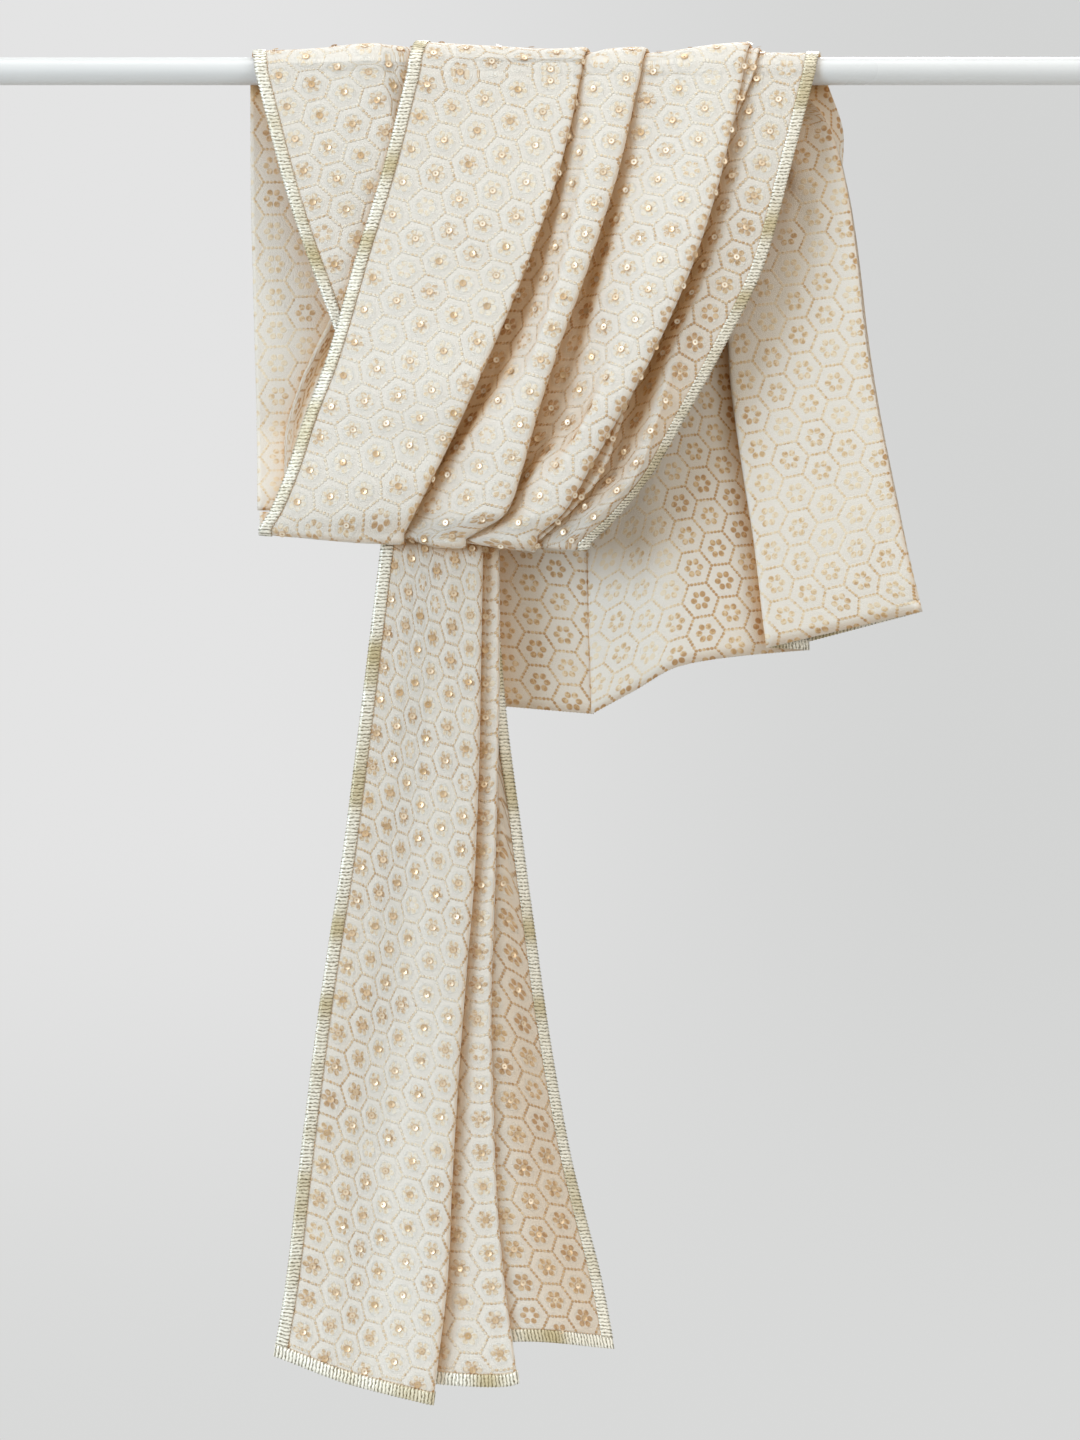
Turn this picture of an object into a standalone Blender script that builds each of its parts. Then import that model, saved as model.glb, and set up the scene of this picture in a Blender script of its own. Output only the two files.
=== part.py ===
"""A dupatta stole wound twice over a round rail, for Blender 4.5.

One length of cloth goes from its front hem up the front, over the rail, down the back, round under
the swag, up the front again in four folds, over the rail and down the back to its other hem.
Sizes are in millimetres. The origin is on the rail's axis. X runs along the rail, the front faces -Y.
"""
import math
from collections import namedtuple

import bmesh
import bpy
from mathutils import Vector

MM = 0.001
COLLECTION = "dupatta_stole_on_rail"

# Rail
RAIL_RADIUS = 11.0
RAIL_LENGTH = 960.0
RAIL_SIDES = 48

# Cloth and the metallic lace on its edges
CLOTH_WALL = 1.0
LACE_WIDTH = 10.0
LACE_WALL = 0.9
LACE_GAP = 0.3
LACE_LIFT = CLOTH_WALL / 2 + LACE_GAP + LACE_WALL / 2
SHARPEST_MITRE = 0.6
SEAM = 0.3
SEAM_DROP = 8.0

# The front view that the widths and drops below are measured in, from 2.7 m away at mid height
VIEW_DISTANCE = 2700.0
VIEW_DROP = 519.0

# Steps of the loft
RAIL_ARC_STEPS = 8
CURL_STEPS = 4

# How far each turn over the rail runs sideways, for each mm along the cloth
SWAG_LEAN = 0.22
TAIL_LEAN = -0.13


def smooth(stops, values, at):
    """Value at a place between stops, on a smooth curve that never overshoots them."""
    if at <= stops[0]:
        return values[0]
    if at >= stops[-1]:
        return values[-1]
    rises = [(values[i + 1] - values[i]) / (stops[i + 1] - stops[i]) for i in range(len(stops) - 1)]
    slopes = [rises[0]]
    for before, after in zip(rises, rises[1:]):
        same_way = before * after > 0
        slopes.append(2 * before * after / (before + after) if same_way else 0.0)
    slopes.append(rises[-1])
    i = max(k for k in range(len(stops) - 1) if stops[k] <= at)
    span = stops[i + 1] - stops[i]
    t = (at - stops[i]) / span
    start = (1 + 2 * t) * (1 - t) ** 2 * values[i] + t * (1 - t) ** 2 * span * slopes[i]
    end = t * t * (3 - 2 * t) * values[i + 1] - t * t * (1 - t) * span * slopes[i + 1]
    return start + end


def seen(x, y, z):
    """Point at depth y that covers (x, z) of the rail's plane in the front view."""
    scale = (VIEW_DISTANCE + y) / VIEW_DISTANCE
    return Vector((x * scale, y, (z + VIEW_DROP) * scale - VIEW_DROP))


def over_rail(front, lean, angle):
    """Point of a turn over the rail that leaves the front at this point's height, radius and place.

    The angle runs from 180 degrees at the front to 0 at the back.
    """
    radius = -front.y
    turned = math.pi - angle
    return Vector((front.x + lean * radius * turned, radius * math.cos(angle), radius * math.sin(angle)))


# The swag: levels below the rail's axis where its folds are measured
SWAG_DROPS = (0, 76, 152, 228, 280, 320, 352, 376)

# edge: place of the fold's front edge. under: how far the cloth goes back behind that edge.
# hollow: from the edge to where the next panel stands proud. knee: where the panel starts to rise.
# front, valley, ridge: depths of the edge, of the bottom of the hollow and of the next panel's rise.
# crease: drop of the turned-under bottom at the fold
SwagFold = namedtuple("SwagFold", "name edge under hollow knee front valley ridge crease")
SWAG_FOLDS = (
    SwagFold(
        name="a",
        edge=(32.6, 16.5, -9.2, -41.1, -65.1, -84.3, -100.4, -109.6),
        under=(26, 22, 16, 14, 14, 16, 18, 18),
        hollow=(4, 12, 22, 28, 20, 6, 4, 3),
        knee=(30, 28, 24, 22, 22, 24, 26, 26),
        front=(-17.7, -29, -39, -46, -49, -48, -46, -38),
        valley=(-13.9, -17, -21, -25, -28, -31, -32, -33),
        ridge=(-14.2, -22, -31, -38, -40, -36, -35, -34),
        crease=377,
    ),
    SwagFold(
        name="b",
        edge=(80.3, 62.1, 39.0, 12.0, -5.1, -15.6, -27.2, -60.0),
        under=(26, 20, 14, 12, 12, 12, 16, 20),
        hollow=(8, 17, 17, 30, 38, 14, 4, 3),
        knee=(30, 24, 18, 16, 16, 16, 20, 24),
        front=(-17.7, -29, -40, -47, -50, -52, -50, -38),
        valley=(-13.9, -17, -21, -26, -30, -34, -36, -33),
        ridge=(-14.2, -21, -30, -36, -41, -44, -40, -34),
        crease=380,
    ),
    SwagFold(
        name="c",
        edge=(162.3, 146.0, 121.3, 88.4, 59.7, 37.4, 18.6, -2.4),
        under=(20, 20, 20, 20, 20, 18, 16, 16),
        hollow=(3, -14, -14, -12, -8, 4, -3, -8),
        knee=(24, 24, 24, 24, 24, 22, 20, 20),
        front=(-21.5, -33, -44, -51, -54, -54, -52, -43),
        valley=(-17.7, -25, -32, -37, -40, -43, -43, -38),
        ridge=(-17.7, -25, -32, -37, -41, -45, -44, -38),
        crease=382,
    ),
    SwagFold(
        name="d",
        edge=(171.2, 140.8, 115.2, 84.0, 64.0, 49.6, 24.0, -4.0),
        under=(20, 20, 20, 20, 20, 18, 16, 14),
        hollow=(6, 21, 23, 22, 28, 29, 27, 31),
        knee=(5, 5, 5, 5, 5, 5, 5, 4),
        front=(-17.7, -25, -32, -37, -41, -46, -45, -38),
        valley=(-13.9, -18, -20, -24, -28, -33, -35, -33),
        ridge=(-14.2, -20, -28, -35, -40, -44, -46, -37),
        crease=377,
    ),
)

# Thickness of a fold's rounded edge and of its hidden turn, at each level
SWAG_NOSE = (1.9, 3, 5, 6, 6, 5, 4, 2.5)

SwagEdge = namedtuple("SwagEdge", "place depth crease")
SWAG_LEFT = SwagEdge(
    place=(-106.2, -125.1, -148.2, -169.9, -189.4, -202.6, -216.2, -225.0),
    depth=(-22.9, -26, -28, -30, -32, -34, -35.5, -36),
    crease=369.7,
)
SWAG_RIGHT = SwagEdge(
    place=(220.3, 200.6, 180.0, 143.2, 114.2, 90.4, 65.4, 40.0),
    depth=(-13.9, -17, -20, -24, -27, -31, -34, -34),
    crease=376,
)

# The turned-under bottom of the swag: where its back lies, how far that is closed up, and its height
LIP_DEPTH = -29.0
LIP_CLOSING = 0.7
LIP_TOP_DROP = 354.0


# Levels of the swag's rows, from its bottom crease up to the rail's axis
SWAG_LEVELS = (364, 350, 335, 318, 300, 280, 256, 228, 198, 168, 138, 108, 78, 50, 24, 0)

# How far a fold's panel leans back at its knee, and where the outer fold's two lines lie on the panel
KNEE_LEAN = 0.4
OUTER_FOLD_SHARES = (0.35, 0.65)


def swag_section(drop):
    """Points across the swag at one level, from the left border to the right one."""

    def level(values):
        return smooth(SWAG_DROPS, values, drop)

    def place(x, y, crease, crease_depth):
        bottom = -(crease - lip_radius(crease_depth))
        heights = [-stop for stop in SWAG_DROPS[:-1]] + [bottom]
        return seen(x, y, smooth(SWAG_DROPS, heights, drop))

    nose = level(SWAG_NOSE)
    points = []
    left = level(SWAG_LEFT.place), level(SWAG_LEFT.depth)
    points.append(place(*left, SWAG_LEFT.crease, SWAG_LEFT.depth[-1]))
    for fold in SWAG_FOLDS:
        edge = level(fold.edge)
        root = edge - level(fold.under)
        front = level(fold.front)
        valley = level(fold.valley)
        across = (
            (edge - level(fold.knee), front + KNEE_LEAN),
            (edge, front),
            (edge, front + nose),
            (root, valley - nose),
            (root, valley),
            (edge + level(fold.hollow), level(fold.ridge)),
        )
        points += [place(x, y, fold.crease, fold.front[-1]) for x, y in across]
    ridge = points[-1]
    right = place(level(SWAG_RIGHT.place), level(SWAG_RIGHT.depth), SWAG_RIGHT.crease, SWAG_RIGHT.depth[-1])
    trim = right + (ridge - right).normalized() * LACE_WIDTH
    points += [ridge.lerp(trim, share) for share in OUTER_FOLD_SHARES] + [right]
    return with_trim_points(points)


def lip_depth(depth):
    """Depth behind the bottom crease of the cloth that lies at this depth in front of it."""
    return LIP_DEPTH + LIP_CLOSING * (SWAG_FOLDS[0].valley[-1] - depth)


def lip_radius(depth):
    """Radius of the bottom crease for cloth at this depth in front of it."""
    return (lip_depth(depth) - depth) / 2


def with_trim_points(points):
    """The points with one more beside each border, a lace's width inside it."""
    left = points[0] + (points[1] - points[0]).normalized() * LACE_WIDTH
    right = points[-1] + (points[-2] - points[-1]).normalized() * LACE_WIDTH
    return [points[0], left] + points[1:-1] + [right, points[-1]]


def swag_rows():
    """Sections of the swag along the cloth: lip, bottom crease, front, and over the rail."""
    bottom = swag_section(SWAG_DROPS[-1])
    rows = []
    for share in (1.0, 0.5):
        rows.append([Vector((p.x, lip_depth(p.y), p.z + share * (-LIP_TOP_DROP - p.z))) for p in bottom])
    for k in range(CURL_STEPS + 1):
        angle = math.pi * k / CURL_STEPS
        row = []
        for p in bottom:
            radius = lip_radius(p.y)
            centre = p.y + radius
            row.append(Vector((p.x, centre + radius * math.cos(angle), p.z - radius * math.sin(angle))))
        rows.append(row)
    for drop in SWAG_LEVELS:
        rows.append(swag_section(drop))
    rows += turn_rows(swag_section(0), SWAG_LEAN)
    return rows + [back_section(rows[-1], SEAM_DROP)]


def turn_rows(front_row, lean):
    """Sections over the rail, after the one at the front, to the one at the back."""
    rows = []
    for k in range(1, RAIL_ARC_STEPS + 1):
        angle = math.pi * (1 - k / RAIL_ARC_STEPS)
        rows.append([over_rail(p, lean, angle) for p in front_row])
    return rows


# The back end: levels below the rail's axis, and its folds as they hang there.
# point: the number of the swag's point that carries on down as this line
BACK_DROPS = (0, 50, 110, 230, 400, 470)
BackLine = namedtuple("BackLine", "name point place depth thick hem")
BACK_LINES = (
    BackLine("left_border", 0, (None, -91, -88, -82, -72, -64), (None, 22, 24, 25, 24, 24), 0, 505),
    BackLine("deep_line", 11, (None, 50, 42, 36, 39, 41.6), (None, 18, 19, 25, 34, 37), -1.5, 514),
    BackLine("near_line", 14, (None, 122, 100, 84, 103, 111), (None, 22, 24, 23, 20, 18), 0, 476),
    BackLine("fold_root", 15, (None, 173, 172, 182, 206, 214), (None, 26, 28, 32, 37, 39), -4, 463),
    BackLine("fold_edge", 17, (None, 150, 148, 152, 175, 182.4), (None, 21, 22, 23, 23, 23), -4, 461),
    BackLine("outer_fold", 26, (None, 235, 248, 263, 297, 304.8), (None, 17, 19, 21, 23, 25), 5, 432.4),
    BackLine("right_border", 29, (None, 244, 238, 228, 212, 199), (None, 31, 35, 39, 44, 47), 0, 460.5),
)
BACK_LEVELS = (20, 32, 45, 60, 75, 92, 110, 130, 150, 170, 190, 210, 230, 272, 315, 358, 400, 436)


# How far below the rail the back end's hidden pleats have spread sideways, and between which they go flat
SPREADING_DROP = 130.0
FLAT_START_DROP = 91.0
FLAT_DROP = 210.0

# How far the edge of a pleat stands out from the cloth while it spreads, by the swag's point number
BACK_STANDING = {3: 7, 4: 6, 9: 7, 10: 6, 20: 1.5, 21: 5, 22: 4, 23: -1.5, 24: -1.5, 25: -0.5}


def back_line_points(line, top_row, drop):
    """The one or two points of a fold line of the back end at one level."""
    count = 2 if line.thick else 1
    points = []
    for k in range(count):
        top = top_row[line.point + k]
        x = smooth(BACK_DROPS, (top.x,) + line.place[1:], drop)
        depths = (top.y,) + tuple(depth + line.thick * k for depth in line.depth[1:])
        y = smooth(BACK_DROPS, depths, drop)
        heights = tuple(-stop for stop in BACK_DROPS[:-1]) + (-line.hem,)
        points.append(seen_level(x, y, smooth(BACK_DROPS, heights, drop), drop))
    return points


def seen_level(x, y, z, drop):
    """Like seen, but easing in from the rail, where the turn has its own width."""
    easing = min(1.0, drop / BACK_DROPS[2])
    return Vector((x, y, z)).lerp(seen(x, y, z), easing)


def back_section(top_row, drop):
    """Points across the back end at one level, as many as the swag has."""
    fixed = {}
    for line in BACK_LINES:
        for k, point in enumerate(back_line_points(line, top_row, drop)):
            fixed[line.point + k] = point
    numbers = sorted(fixed)
    row = []
    for start, end in zip(numbers, numbers[1:]):
        for n in range(start, end):
            share = (n - start) / (end - start)
            spread = fixed[start].lerp(fixed[end], share)
            moved = (fixed[start] - top_row[start]).lerp(fixed[end] - top_row[end], share)
            gathered = top_row[n] + moved
            aside = eased(drop, 0, SPREADING_DROP)
            flat = eased(drop, FLAT_START_DROP, FLAT_DROP)
            x = gathered.x + aside * (spread.x - gathered.x)
            y = gathered.y + flat * (spread.y - gathered.y)
            y += BACK_STANDING.get(n, 0) * math.sin(math.pi * aside)
            row.append(Vector((x, y, spread.z)))
    row.append(fixed[numbers[-1]])
    return row


def eased(value, start, end):
    """Share from 0 to 1 of the way from start to end, easing at both."""
    t = min(1.0, max(0.0, (value - start) / (end - start)))
    return t * t * (3 - 2 * t)


def back_rows():
    """Sections of the back end, from the rail to its hem."""
    top_row = turn_rows(swag_section(0), SWAG_LEAN)[-1]
    rows = [back_section(top_row, SEAM_DROP)]
    for drop in BACK_LEVELS + (BACK_DROPS[-1],):
        rows.append(back_section(top_row, drop))
    rows.insert(-1, trim_row(rows[-1], rows[-2]))
    return rows


# The tail: its points across, on the rail, at the waist under the swag, and how they gather.
TailPoint = namedtuple("TailPoint", "name rail radius")
TAIL_POINTS = (
    TailPoint("left_border", -228, 15.4),
    TailPoint("middle", -180, 17.4),
    TailPoint("a_knee", -138, 21.4),
    TailPoint("a_edge_out", -126, 21.4),
    TailPoint("a_edge_in", -120, 20.6),
    TailPoint("a_valley_in", -94, 17.4),
    TailPoint("a_valley_out", -86, 16.4),
    TailPoint("a_ridge", -58, 13.2),
    TailPoint("b_knee", -12, 12.2),
    TailPoint("b_edge_out", 5, 12.2),
    TailPoint("b_edge_in", 12, 12.2),
    TailPoint("b_valley_in", 60, 12.2),
    TailPoint("b_valley_out", 68, 12.2),
    TailPoint("b_ridge", 110, 12.2),
    TailPoint("right_border", 200, 12.2),
)
WAIST_DROP = 379.0

# While the tail's pleats form, their hidden turns stand this far off
TAIL_STANDING = 6.0
TAIL_GATHER_DROPS = (0, 103, 203, 250, 295, 340, 379)
TAIL_GATHER = (0, 0.27, 0.62, 0.80, 0.96, 1.0, 1.0)

# Levels of the hanging tail, the last one its hem, and its edges and fold edges there
TAIL_DROPS = (379, 503, 623, 743, 863, 967, 1045)
TailLine = namedtuple("TailLine", "place under hem")
TAIL_LEFT = TailLine((-127.2, -142.4, -157.6, -176.0, -191.2, -203.2, -213.1), None, 1027.6)
TAIL_FOLD_A = TailLine(
    (-46.4, -48.5, -53.2, -61.3, -69.8, -75.4, -86.8), (66, 68, 70, 72, 72, 72, 72), 1066.8
)
TAIL_FOLD_B = TailLine(
    (-33.6, -33.6, -36.0, -39.8, -36.8, -29.3, -18.4), (64, 66, 70, 72, 72, 72, 72), 1050.0
)
TAIL_RIGHT = TailLine((-36.8, -28.6, -13.4, 3.2, 23.2, 48.8, 59.2), None, 1022.0)
TAIL_HIDDEN_HEM = 1038.0

# The tail's other points: how far across a panel and down its hem they lie, and how far off a fold's edge
TAIL_MIDDLE = 0.45
TAIL_MIDDLE_HEM = 0.55
TAIL_KNEE_HEM = 0.93
TAIL_RIDGE_SHARE = 0.5
TAIL_KNEE_A = 12.0
TAIL_KNEE_B = 8.0
TAIL_RIDGE_A = 3.0
TAIL_RIDGE_B = 4.0
TAIL_RIDGE_HEM = 6.0
TAIL_KNEE_B_HEM = 2.0
TAIL_EDGE_IN_HEM = 1.0

# The last section of the tail, counted from its hem, that its right lace reaches behind the swag
TAIL_LACE_END = 22

# Depths of the tail's points at those levels
TAIL_DEPTHS = {
    "left_border": (-22.5, -21.5, -20.0, -19.0, -18.0, -17.0, -16.0),
    "middle": (-23.5, -22.0, -19.0, -16.0, -15.0, -16.5, -20.0),
    "a_knee": (-22.5, -22.5, -23.0, -24.0, -25.0, -26.0, -26.5),
    "a_edge_out": (-22.5, -22.5, -23.0, -24.0, -25.0, -26.0, -27.0),
    "a_edge_in": (-18.1, -18.1, -18.5, -19.0, -20.0, -21.0, -22.0),
    "a_valley_in": (-18.1, -15.5, -12.0, -10.0, -9.5, -9.5, -10.5),
    "a_valley_out": (-13.7, -11.0, -7.5, -5.5, -5.0, -5.0, -6.0),
    "a_ridge": (-13.7, -14.0, -14.0, -14.5, -15.0, -15.5, -16.0),
    "b_knee": (-13.7, -14.0, -15.0, -16.0, -17.0, -18.0, -18.5),
    "b_edge_out": (-13.7, -14.0, -15.0, -16.0, -17.0, -18.0, -19.0),
    "b_edge_in": (-9.3, -9.5, -10.0, -11.0, -12.0, -13.0, -14.0),
    "b_valley_in": (-9.3, -6.5, -3.5, -1.5, -1.0, -1.0, -2.0),
    "b_valley_out": (-4.9, -2.0, 1.5, 3.5, 4.0, 4.0, 3.0),
    "b_ridge": (-4.9, -5.0, -6.0, -7.5, -9.0, -10.0, -10.0),
    "right_border": (-4.9, 0.0, 5.0, 14.0, 24.0, 27.0, 20.0),
}
TAIL_LEVELS = (20, 50, 85, 115, 140, 165, 190, 215, 240, 270, 300, 335, 379)
TAIL_HANG_LEVELS = (410, 450, 503, 543, 583, 623, 663, 703, 743, 783, 823, 863, 898, 932, 967, 1000, 1022)


def tail_hang_section(drop):
    """Points across the hanging tail at one level, from the left border to the right one."""

    def level(values):
        return smooth(TAIL_DROPS, values, drop)

    def point(name, x, hem):
        heights = [-stop for stop in TAIL_DROPS[:-1]] + [-hem]
        return seen(x, level(TAIL_DEPTHS[name]), level(heights))

    left = level(TAIL_LEFT.place)
    edge_a = level(TAIL_FOLD_A.place)
    root_a = edge_a - level(TAIL_FOLD_A.under)
    edge_b = level(TAIL_FOLD_B.place)
    root_b = edge_b - level(TAIL_FOLD_B.under)
    right = level(TAIL_RIGHT.place)
    middle = left + TAIL_MIDDLE * (edge_a - left)
    middle_hem = TAIL_LEFT.hem + TAIL_MIDDLE_HEM * (TAIL_FOLD_A.hem - TAIL_LEFT.hem)
    knee_hem = TAIL_LEFT.hem + TAIL_KNEE_HEM * (TAIL_FOLD_A.hem - TAIL_LEFT.hem)
    ridge_b = max(edge_b + TAIL_RIDGE_B, root_b + TAIL_RIDGE_SHARE * (right - root_b))
    ridge_b = min(ridge_b, right - LACE_WIDTH - TAIL_RIDGE_B)
    return [
        point("left_border", left, TAIL_LEFT.hem),
        point("middle", middle, middle_hem),
        point("a_knee", edge_a - TAIL_KNEE_A, knee_hem),
        point("a_edge_out", edge_a, TAIL_FOLD_A.hem),
        point("a_edge_in", edge_a, TAIL_FOLD_A.hem - TAIL_EDGE_IN_HEM),
        point("a_valley_in", root_a, TAIL_HIDDEN_HEM),
        point("a_valley_out", root_a, TAIL_HIDDEN_HEM),
        point("a_ridge", edge_a + TAIL_RIDGE_A, TAIL_FOLD_B.hem),
        point("b_knee", edge_b - TAIL_KNEE_B, TAIL_FOLD_B.hem + TAIL_KNEE_B_HEM),
        point("b_edge_out", edge_b, TAIL_FOLD_B.hem),
        point("b_edge_in", edge_b, TAIL_FOLD_B.hem - TAIL_EDGE_IN_HEM),
        point("b_valley_in", root_b, TAIL_RIGHT.hem),
        point("b_valley_out", root_b, TAIL_RIGHT.hem),
        point("b_ridge", ridge_b, TAIL_RIGHT.hem - TAIL_RIDGE_HEM),
        point("right_border", right, TAIL_RIGHT.hem),
    ]


def tail_gather_section(drop):
    """Points across the hidden stretch between the rail and the waist."""
    share = smooth(TAIL_GATHER_DROPS, TAIL_GATHER, drop)
    waist = tail_hang_section(WAIST_DROP)
    row = []
    for start, end in zip(TAIL_POINTS, waist):
        top = seen(start.rail, -start.radius, 0)
        point = top.lerp(end, share)
        point.y = top.y + math.sqrt(share) * (end.y - top.y)
        if "valley" in start.name:
            point.y += TAIL_STANDING * math.sin(math.pi * share)
        point.z = seen(0, point.y, -drop).z
        row.append(point)
    return row


def trim_row(hem, before):
    """The row a lace's width in from a hem, towards the row before it."""
    return [edge + (inner - edge).normalized() * LACE_WIDTH for edge, inner in zip(hem, before)]


def tail_rows():
    """Sections of the tail along the cloth, from its hem to the back of the rail."""
    drops = (TAIL_DROPS[-1],) + TAIL_HANG_LEVELS[::-1]
    rows = [with_trim_points(tail_hang_section(drop)) for drop in drops]
    rows.insert(1, trim_row(rows[0], rows[1]))
    rows += [with_trim_points(tail_gather_section(drop)) for drop in TAIL_LEVELS[::-1]]
    front = with_trim_points(tail_gather_section(0))
    rows.append(front)
    rows += turn_rows(front, TAIL_LEAN)
    return rows + [loop_row(SEAM_DROP)]


# The loop's back: where the tail's points end at the fold under the swag, and its depth on the way
LoopEnd = namedtuple("LoopEnd", "place layer drop standing")
LOOP_ENDS = (
    LoopEnd(-226, 0, 351.2, 0),
    LoopEnd(-182, 0, 351.2, 0),
    LoopEnd(-152, 0, 351.2, 0),
    LoopEnd(-143, 0, 351.2, 3),
    LoopEnd(-148, 1, 350.5, 2),
    LoopEnd(-204, 1, 326, -5),
    LoopEnd(-204, 2, 326, -5),
    LoopEnd(-190, 2, 326, 0),
    LoopEnd(-184, 2, 326, 0),
    LoopEnd(-180, 2, 326, 0),
    LoopEnd(-176, 2, 326, 0),
    LoopEnd(-170, 2, 326, 0),
    LoopEnd(-166, 2, 326, 0),
    LoopEnd(-162, 2, 326, 0),
    LoopEnd(-150, 2, 326, 0),
)
LOOP_DROPS = (0, 100, 200, 280, 320, 340, 351.2)
LOOP_GATHER = (0, 0.25, 0.60, 0.92, 1.0, 1.0, 1.0)
LOOP_DEPTH = (None, 12, 11, 9, -11, -23.5, -26.3)
LOOP_LAYER = -3.2
LOOP_LEVELS = (25, 60, 100, 140, 180, 215, 245, 270, 290, 304, 318, 330, 341, 351.2)


def loop_section(top_row, drop):
    """Points across the loop's back at one level."""
    share = smooth(LOOP_DROPS, LOOP_GATHER, drop)
    row = []
    for top, end in zip(top_row, LOOP_ENDS):
        own_drop = drop * end.drop / LOOP_DROPS[-1]
        own_layer = end.layer * LOOP_LAYER
        depths = (top.y,) + LOOP_DEPTH[1:]
        y = smooth(LOOP_DROPS, depths, own_drop) + own_layer * math.sqrt(share)
        y += end.standing * math.sin(math.pi * share)
        x = top.x + share * (end.place - top.x)
        row.append(seen_level(x, y, -own_drop, drop))
    return row


def loop_row(drop):
    """Points across the loop's back at one level, with those beside its borders."""
    top_row = turn_rows(tail_gather_section(0), TAIL_LEAN)[-1]
    return with_trim_points(loop_section(top_row, drop))


def loop_rows():
    """Sections of the loop's back, from the rail to the fold under the swag."""
    return [loop_row(drop) for drop in (SEAM_DROP,) + LOOP_LEVELS]


# How many more points each wide panel gets, by the number of the point before it
WIDE_SWAG = {1: 3, 7: 1, 13: 2, 25: 1}
WIDE_BACK = {1: 1, 13: 1, 27: 2}
WIDE_TAIL = {1: 1, 2: 1, 8: 1, 14: 1}


def subdivided(rows, extra):
    """The rows with more points after the numbered ones, so that wide panels can bend."""
    result = []
    for row in rows:
        new_row = []
        for n, point in enumerate(row[:-1]):
            new_row.append(point)
            count = extra.get(n, 0)
            new_row += [point.lerp(row[n + 1], (k + 1) / (count + 1)) for k in range(count)]
        new_row.append(row[-1])
        result.append(new_row)
    return result


def parted(rows):
    """The rows with the last one drawn back by a seam's gap from the stretch that follows."""
    pulled = []
    for last, before in zip(rows[-1], rows[-2]):
        pulled.append(last + (before - last).normalized() * SEAM)
    return rows[:-1] + [pulled]


def make_material(name, colour, roughness, metallic=0.0):
    material = bpy.data.materials.new(name)
    material.use_nodes = True
    shader = material.node_tree.nodes["Principled BSDF"]
    shader.inputs["Base Color"].default_value = (*colour, 1.0)
    shader.inputs["Roughness"].default_value = roughness
    shader.inputs["Metallic"].default_value = metallic
    return material


def link(name, mesh, material):
    obj = bpy.data.objects.new(name, mesh)
    mesh.materials.append(material)
    bpy.data.collections[COLLECTION].objects.link(obj)
    return obj


def add_sheet(name, rows, wall, material):
    """A cloth wall: the surface through the rows, thickened evenly to both sides."""
    builder = bmesh.new()
    grid = [[builder.verts.new(point * MM) for point in row] for row in rows]
    for lower, upper in zip(grid, grid[1:]):
        for n in range(len(lower) - 1):
            builder.faces.new((lower[n], lower[n + 1], upper[n + 1], upper[n]))
    mesh = bpy.data.meshes.new(name)
    builder.to_mesh(mesh)
    builder.free()
    mesh.shade_smooth()
    obj = link(name, mesh, material)
    shell = obj.modifiers.new("wall", "SOLIDIFY")
    shell.thickness = wall * MM
    shell.offset = 0.0
    return obj


def face_normal(edge, inner, before, after):
    """Direction out of the cloth's face at an edge, from its neighbours in and along the cloth."""
    return (inner - edge).cross(after - before).normalized()


def border_strip(rows, right_side):
    """Rows of a lace strip on a long border: the border's two outer lines, moved out of the face."""
    strip = []
    for k, row in enumerate(rows):
        before = rows[max(k - 1, 0)]
        after = rows[min(k + 1, len(rows) - 1)]
        if right_side:
            edge, inner, sign = -1, -2, -1
        else:
            edge, inner, sign = 0, 1, 1
        normal = sign * face_normal(row[edge], row[inner], before[edge], after[edge])
        pair = [row[edge] + normal * LACE_LIFT, row[inner] + normal * LACE_LIFT]
        strip.append(pair[::-1] if right_side else pair)
    return strip


def hem_strip(hem, inner):
    """Rows of a lace strip on a hem: the hem and the line a lace's width in, moved out of the face."""
    normals = []
    for n, (start, end) in enumerate(zip(hem, hem[1:])):
        normals.append((end - start).cross(inner[n] - start).normalized())
    normals = [normals[0]] + normals + [normals[-1]]
    moved = []
    for n, point in enumerate(hem):
        mitre = (normals[n] + normals[n + 1]).normalized()
        reach = LACE_LIFT / max(mitre.dot(normals[n]), SHARPEST_MITRE)
        moved.append((point + mitre * reach, inner[n] + mitre * reach))
    return [[pair[0] for pair in moved], [pair[1] for pair in moved]]


def add_lace(name, strip, material):
    """A lace strip: its rows drawn in by a seam's gap at both ends, and thickened."""
    add_sheet(name, parted(parted(strip)[::-1])[::-1], LACE_WALL, material)


def build_rail(material):
    bpy.ops.mesh.primitive_cylinder_add(
        vertices=RAIL_SIDES,
        radius=RAIL_RADIUS * MM,
        depth=RAIL_LENGTH * MM,
        rotation=(0, math.pi / 2, 0),
    )
    rail = bpy.context.object
    rail.name = "rail"
    rail.data.materials.append(material)
    rail.data.shade_smooth()
    rail.data.set_sharp_from_angle(angle=math.radians(40))
    for collection in list(rail.users_collection):
        collection.objects.unlink(rail)
    bpy.data.collections[COLLECTION].objects.link(rail)


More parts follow.
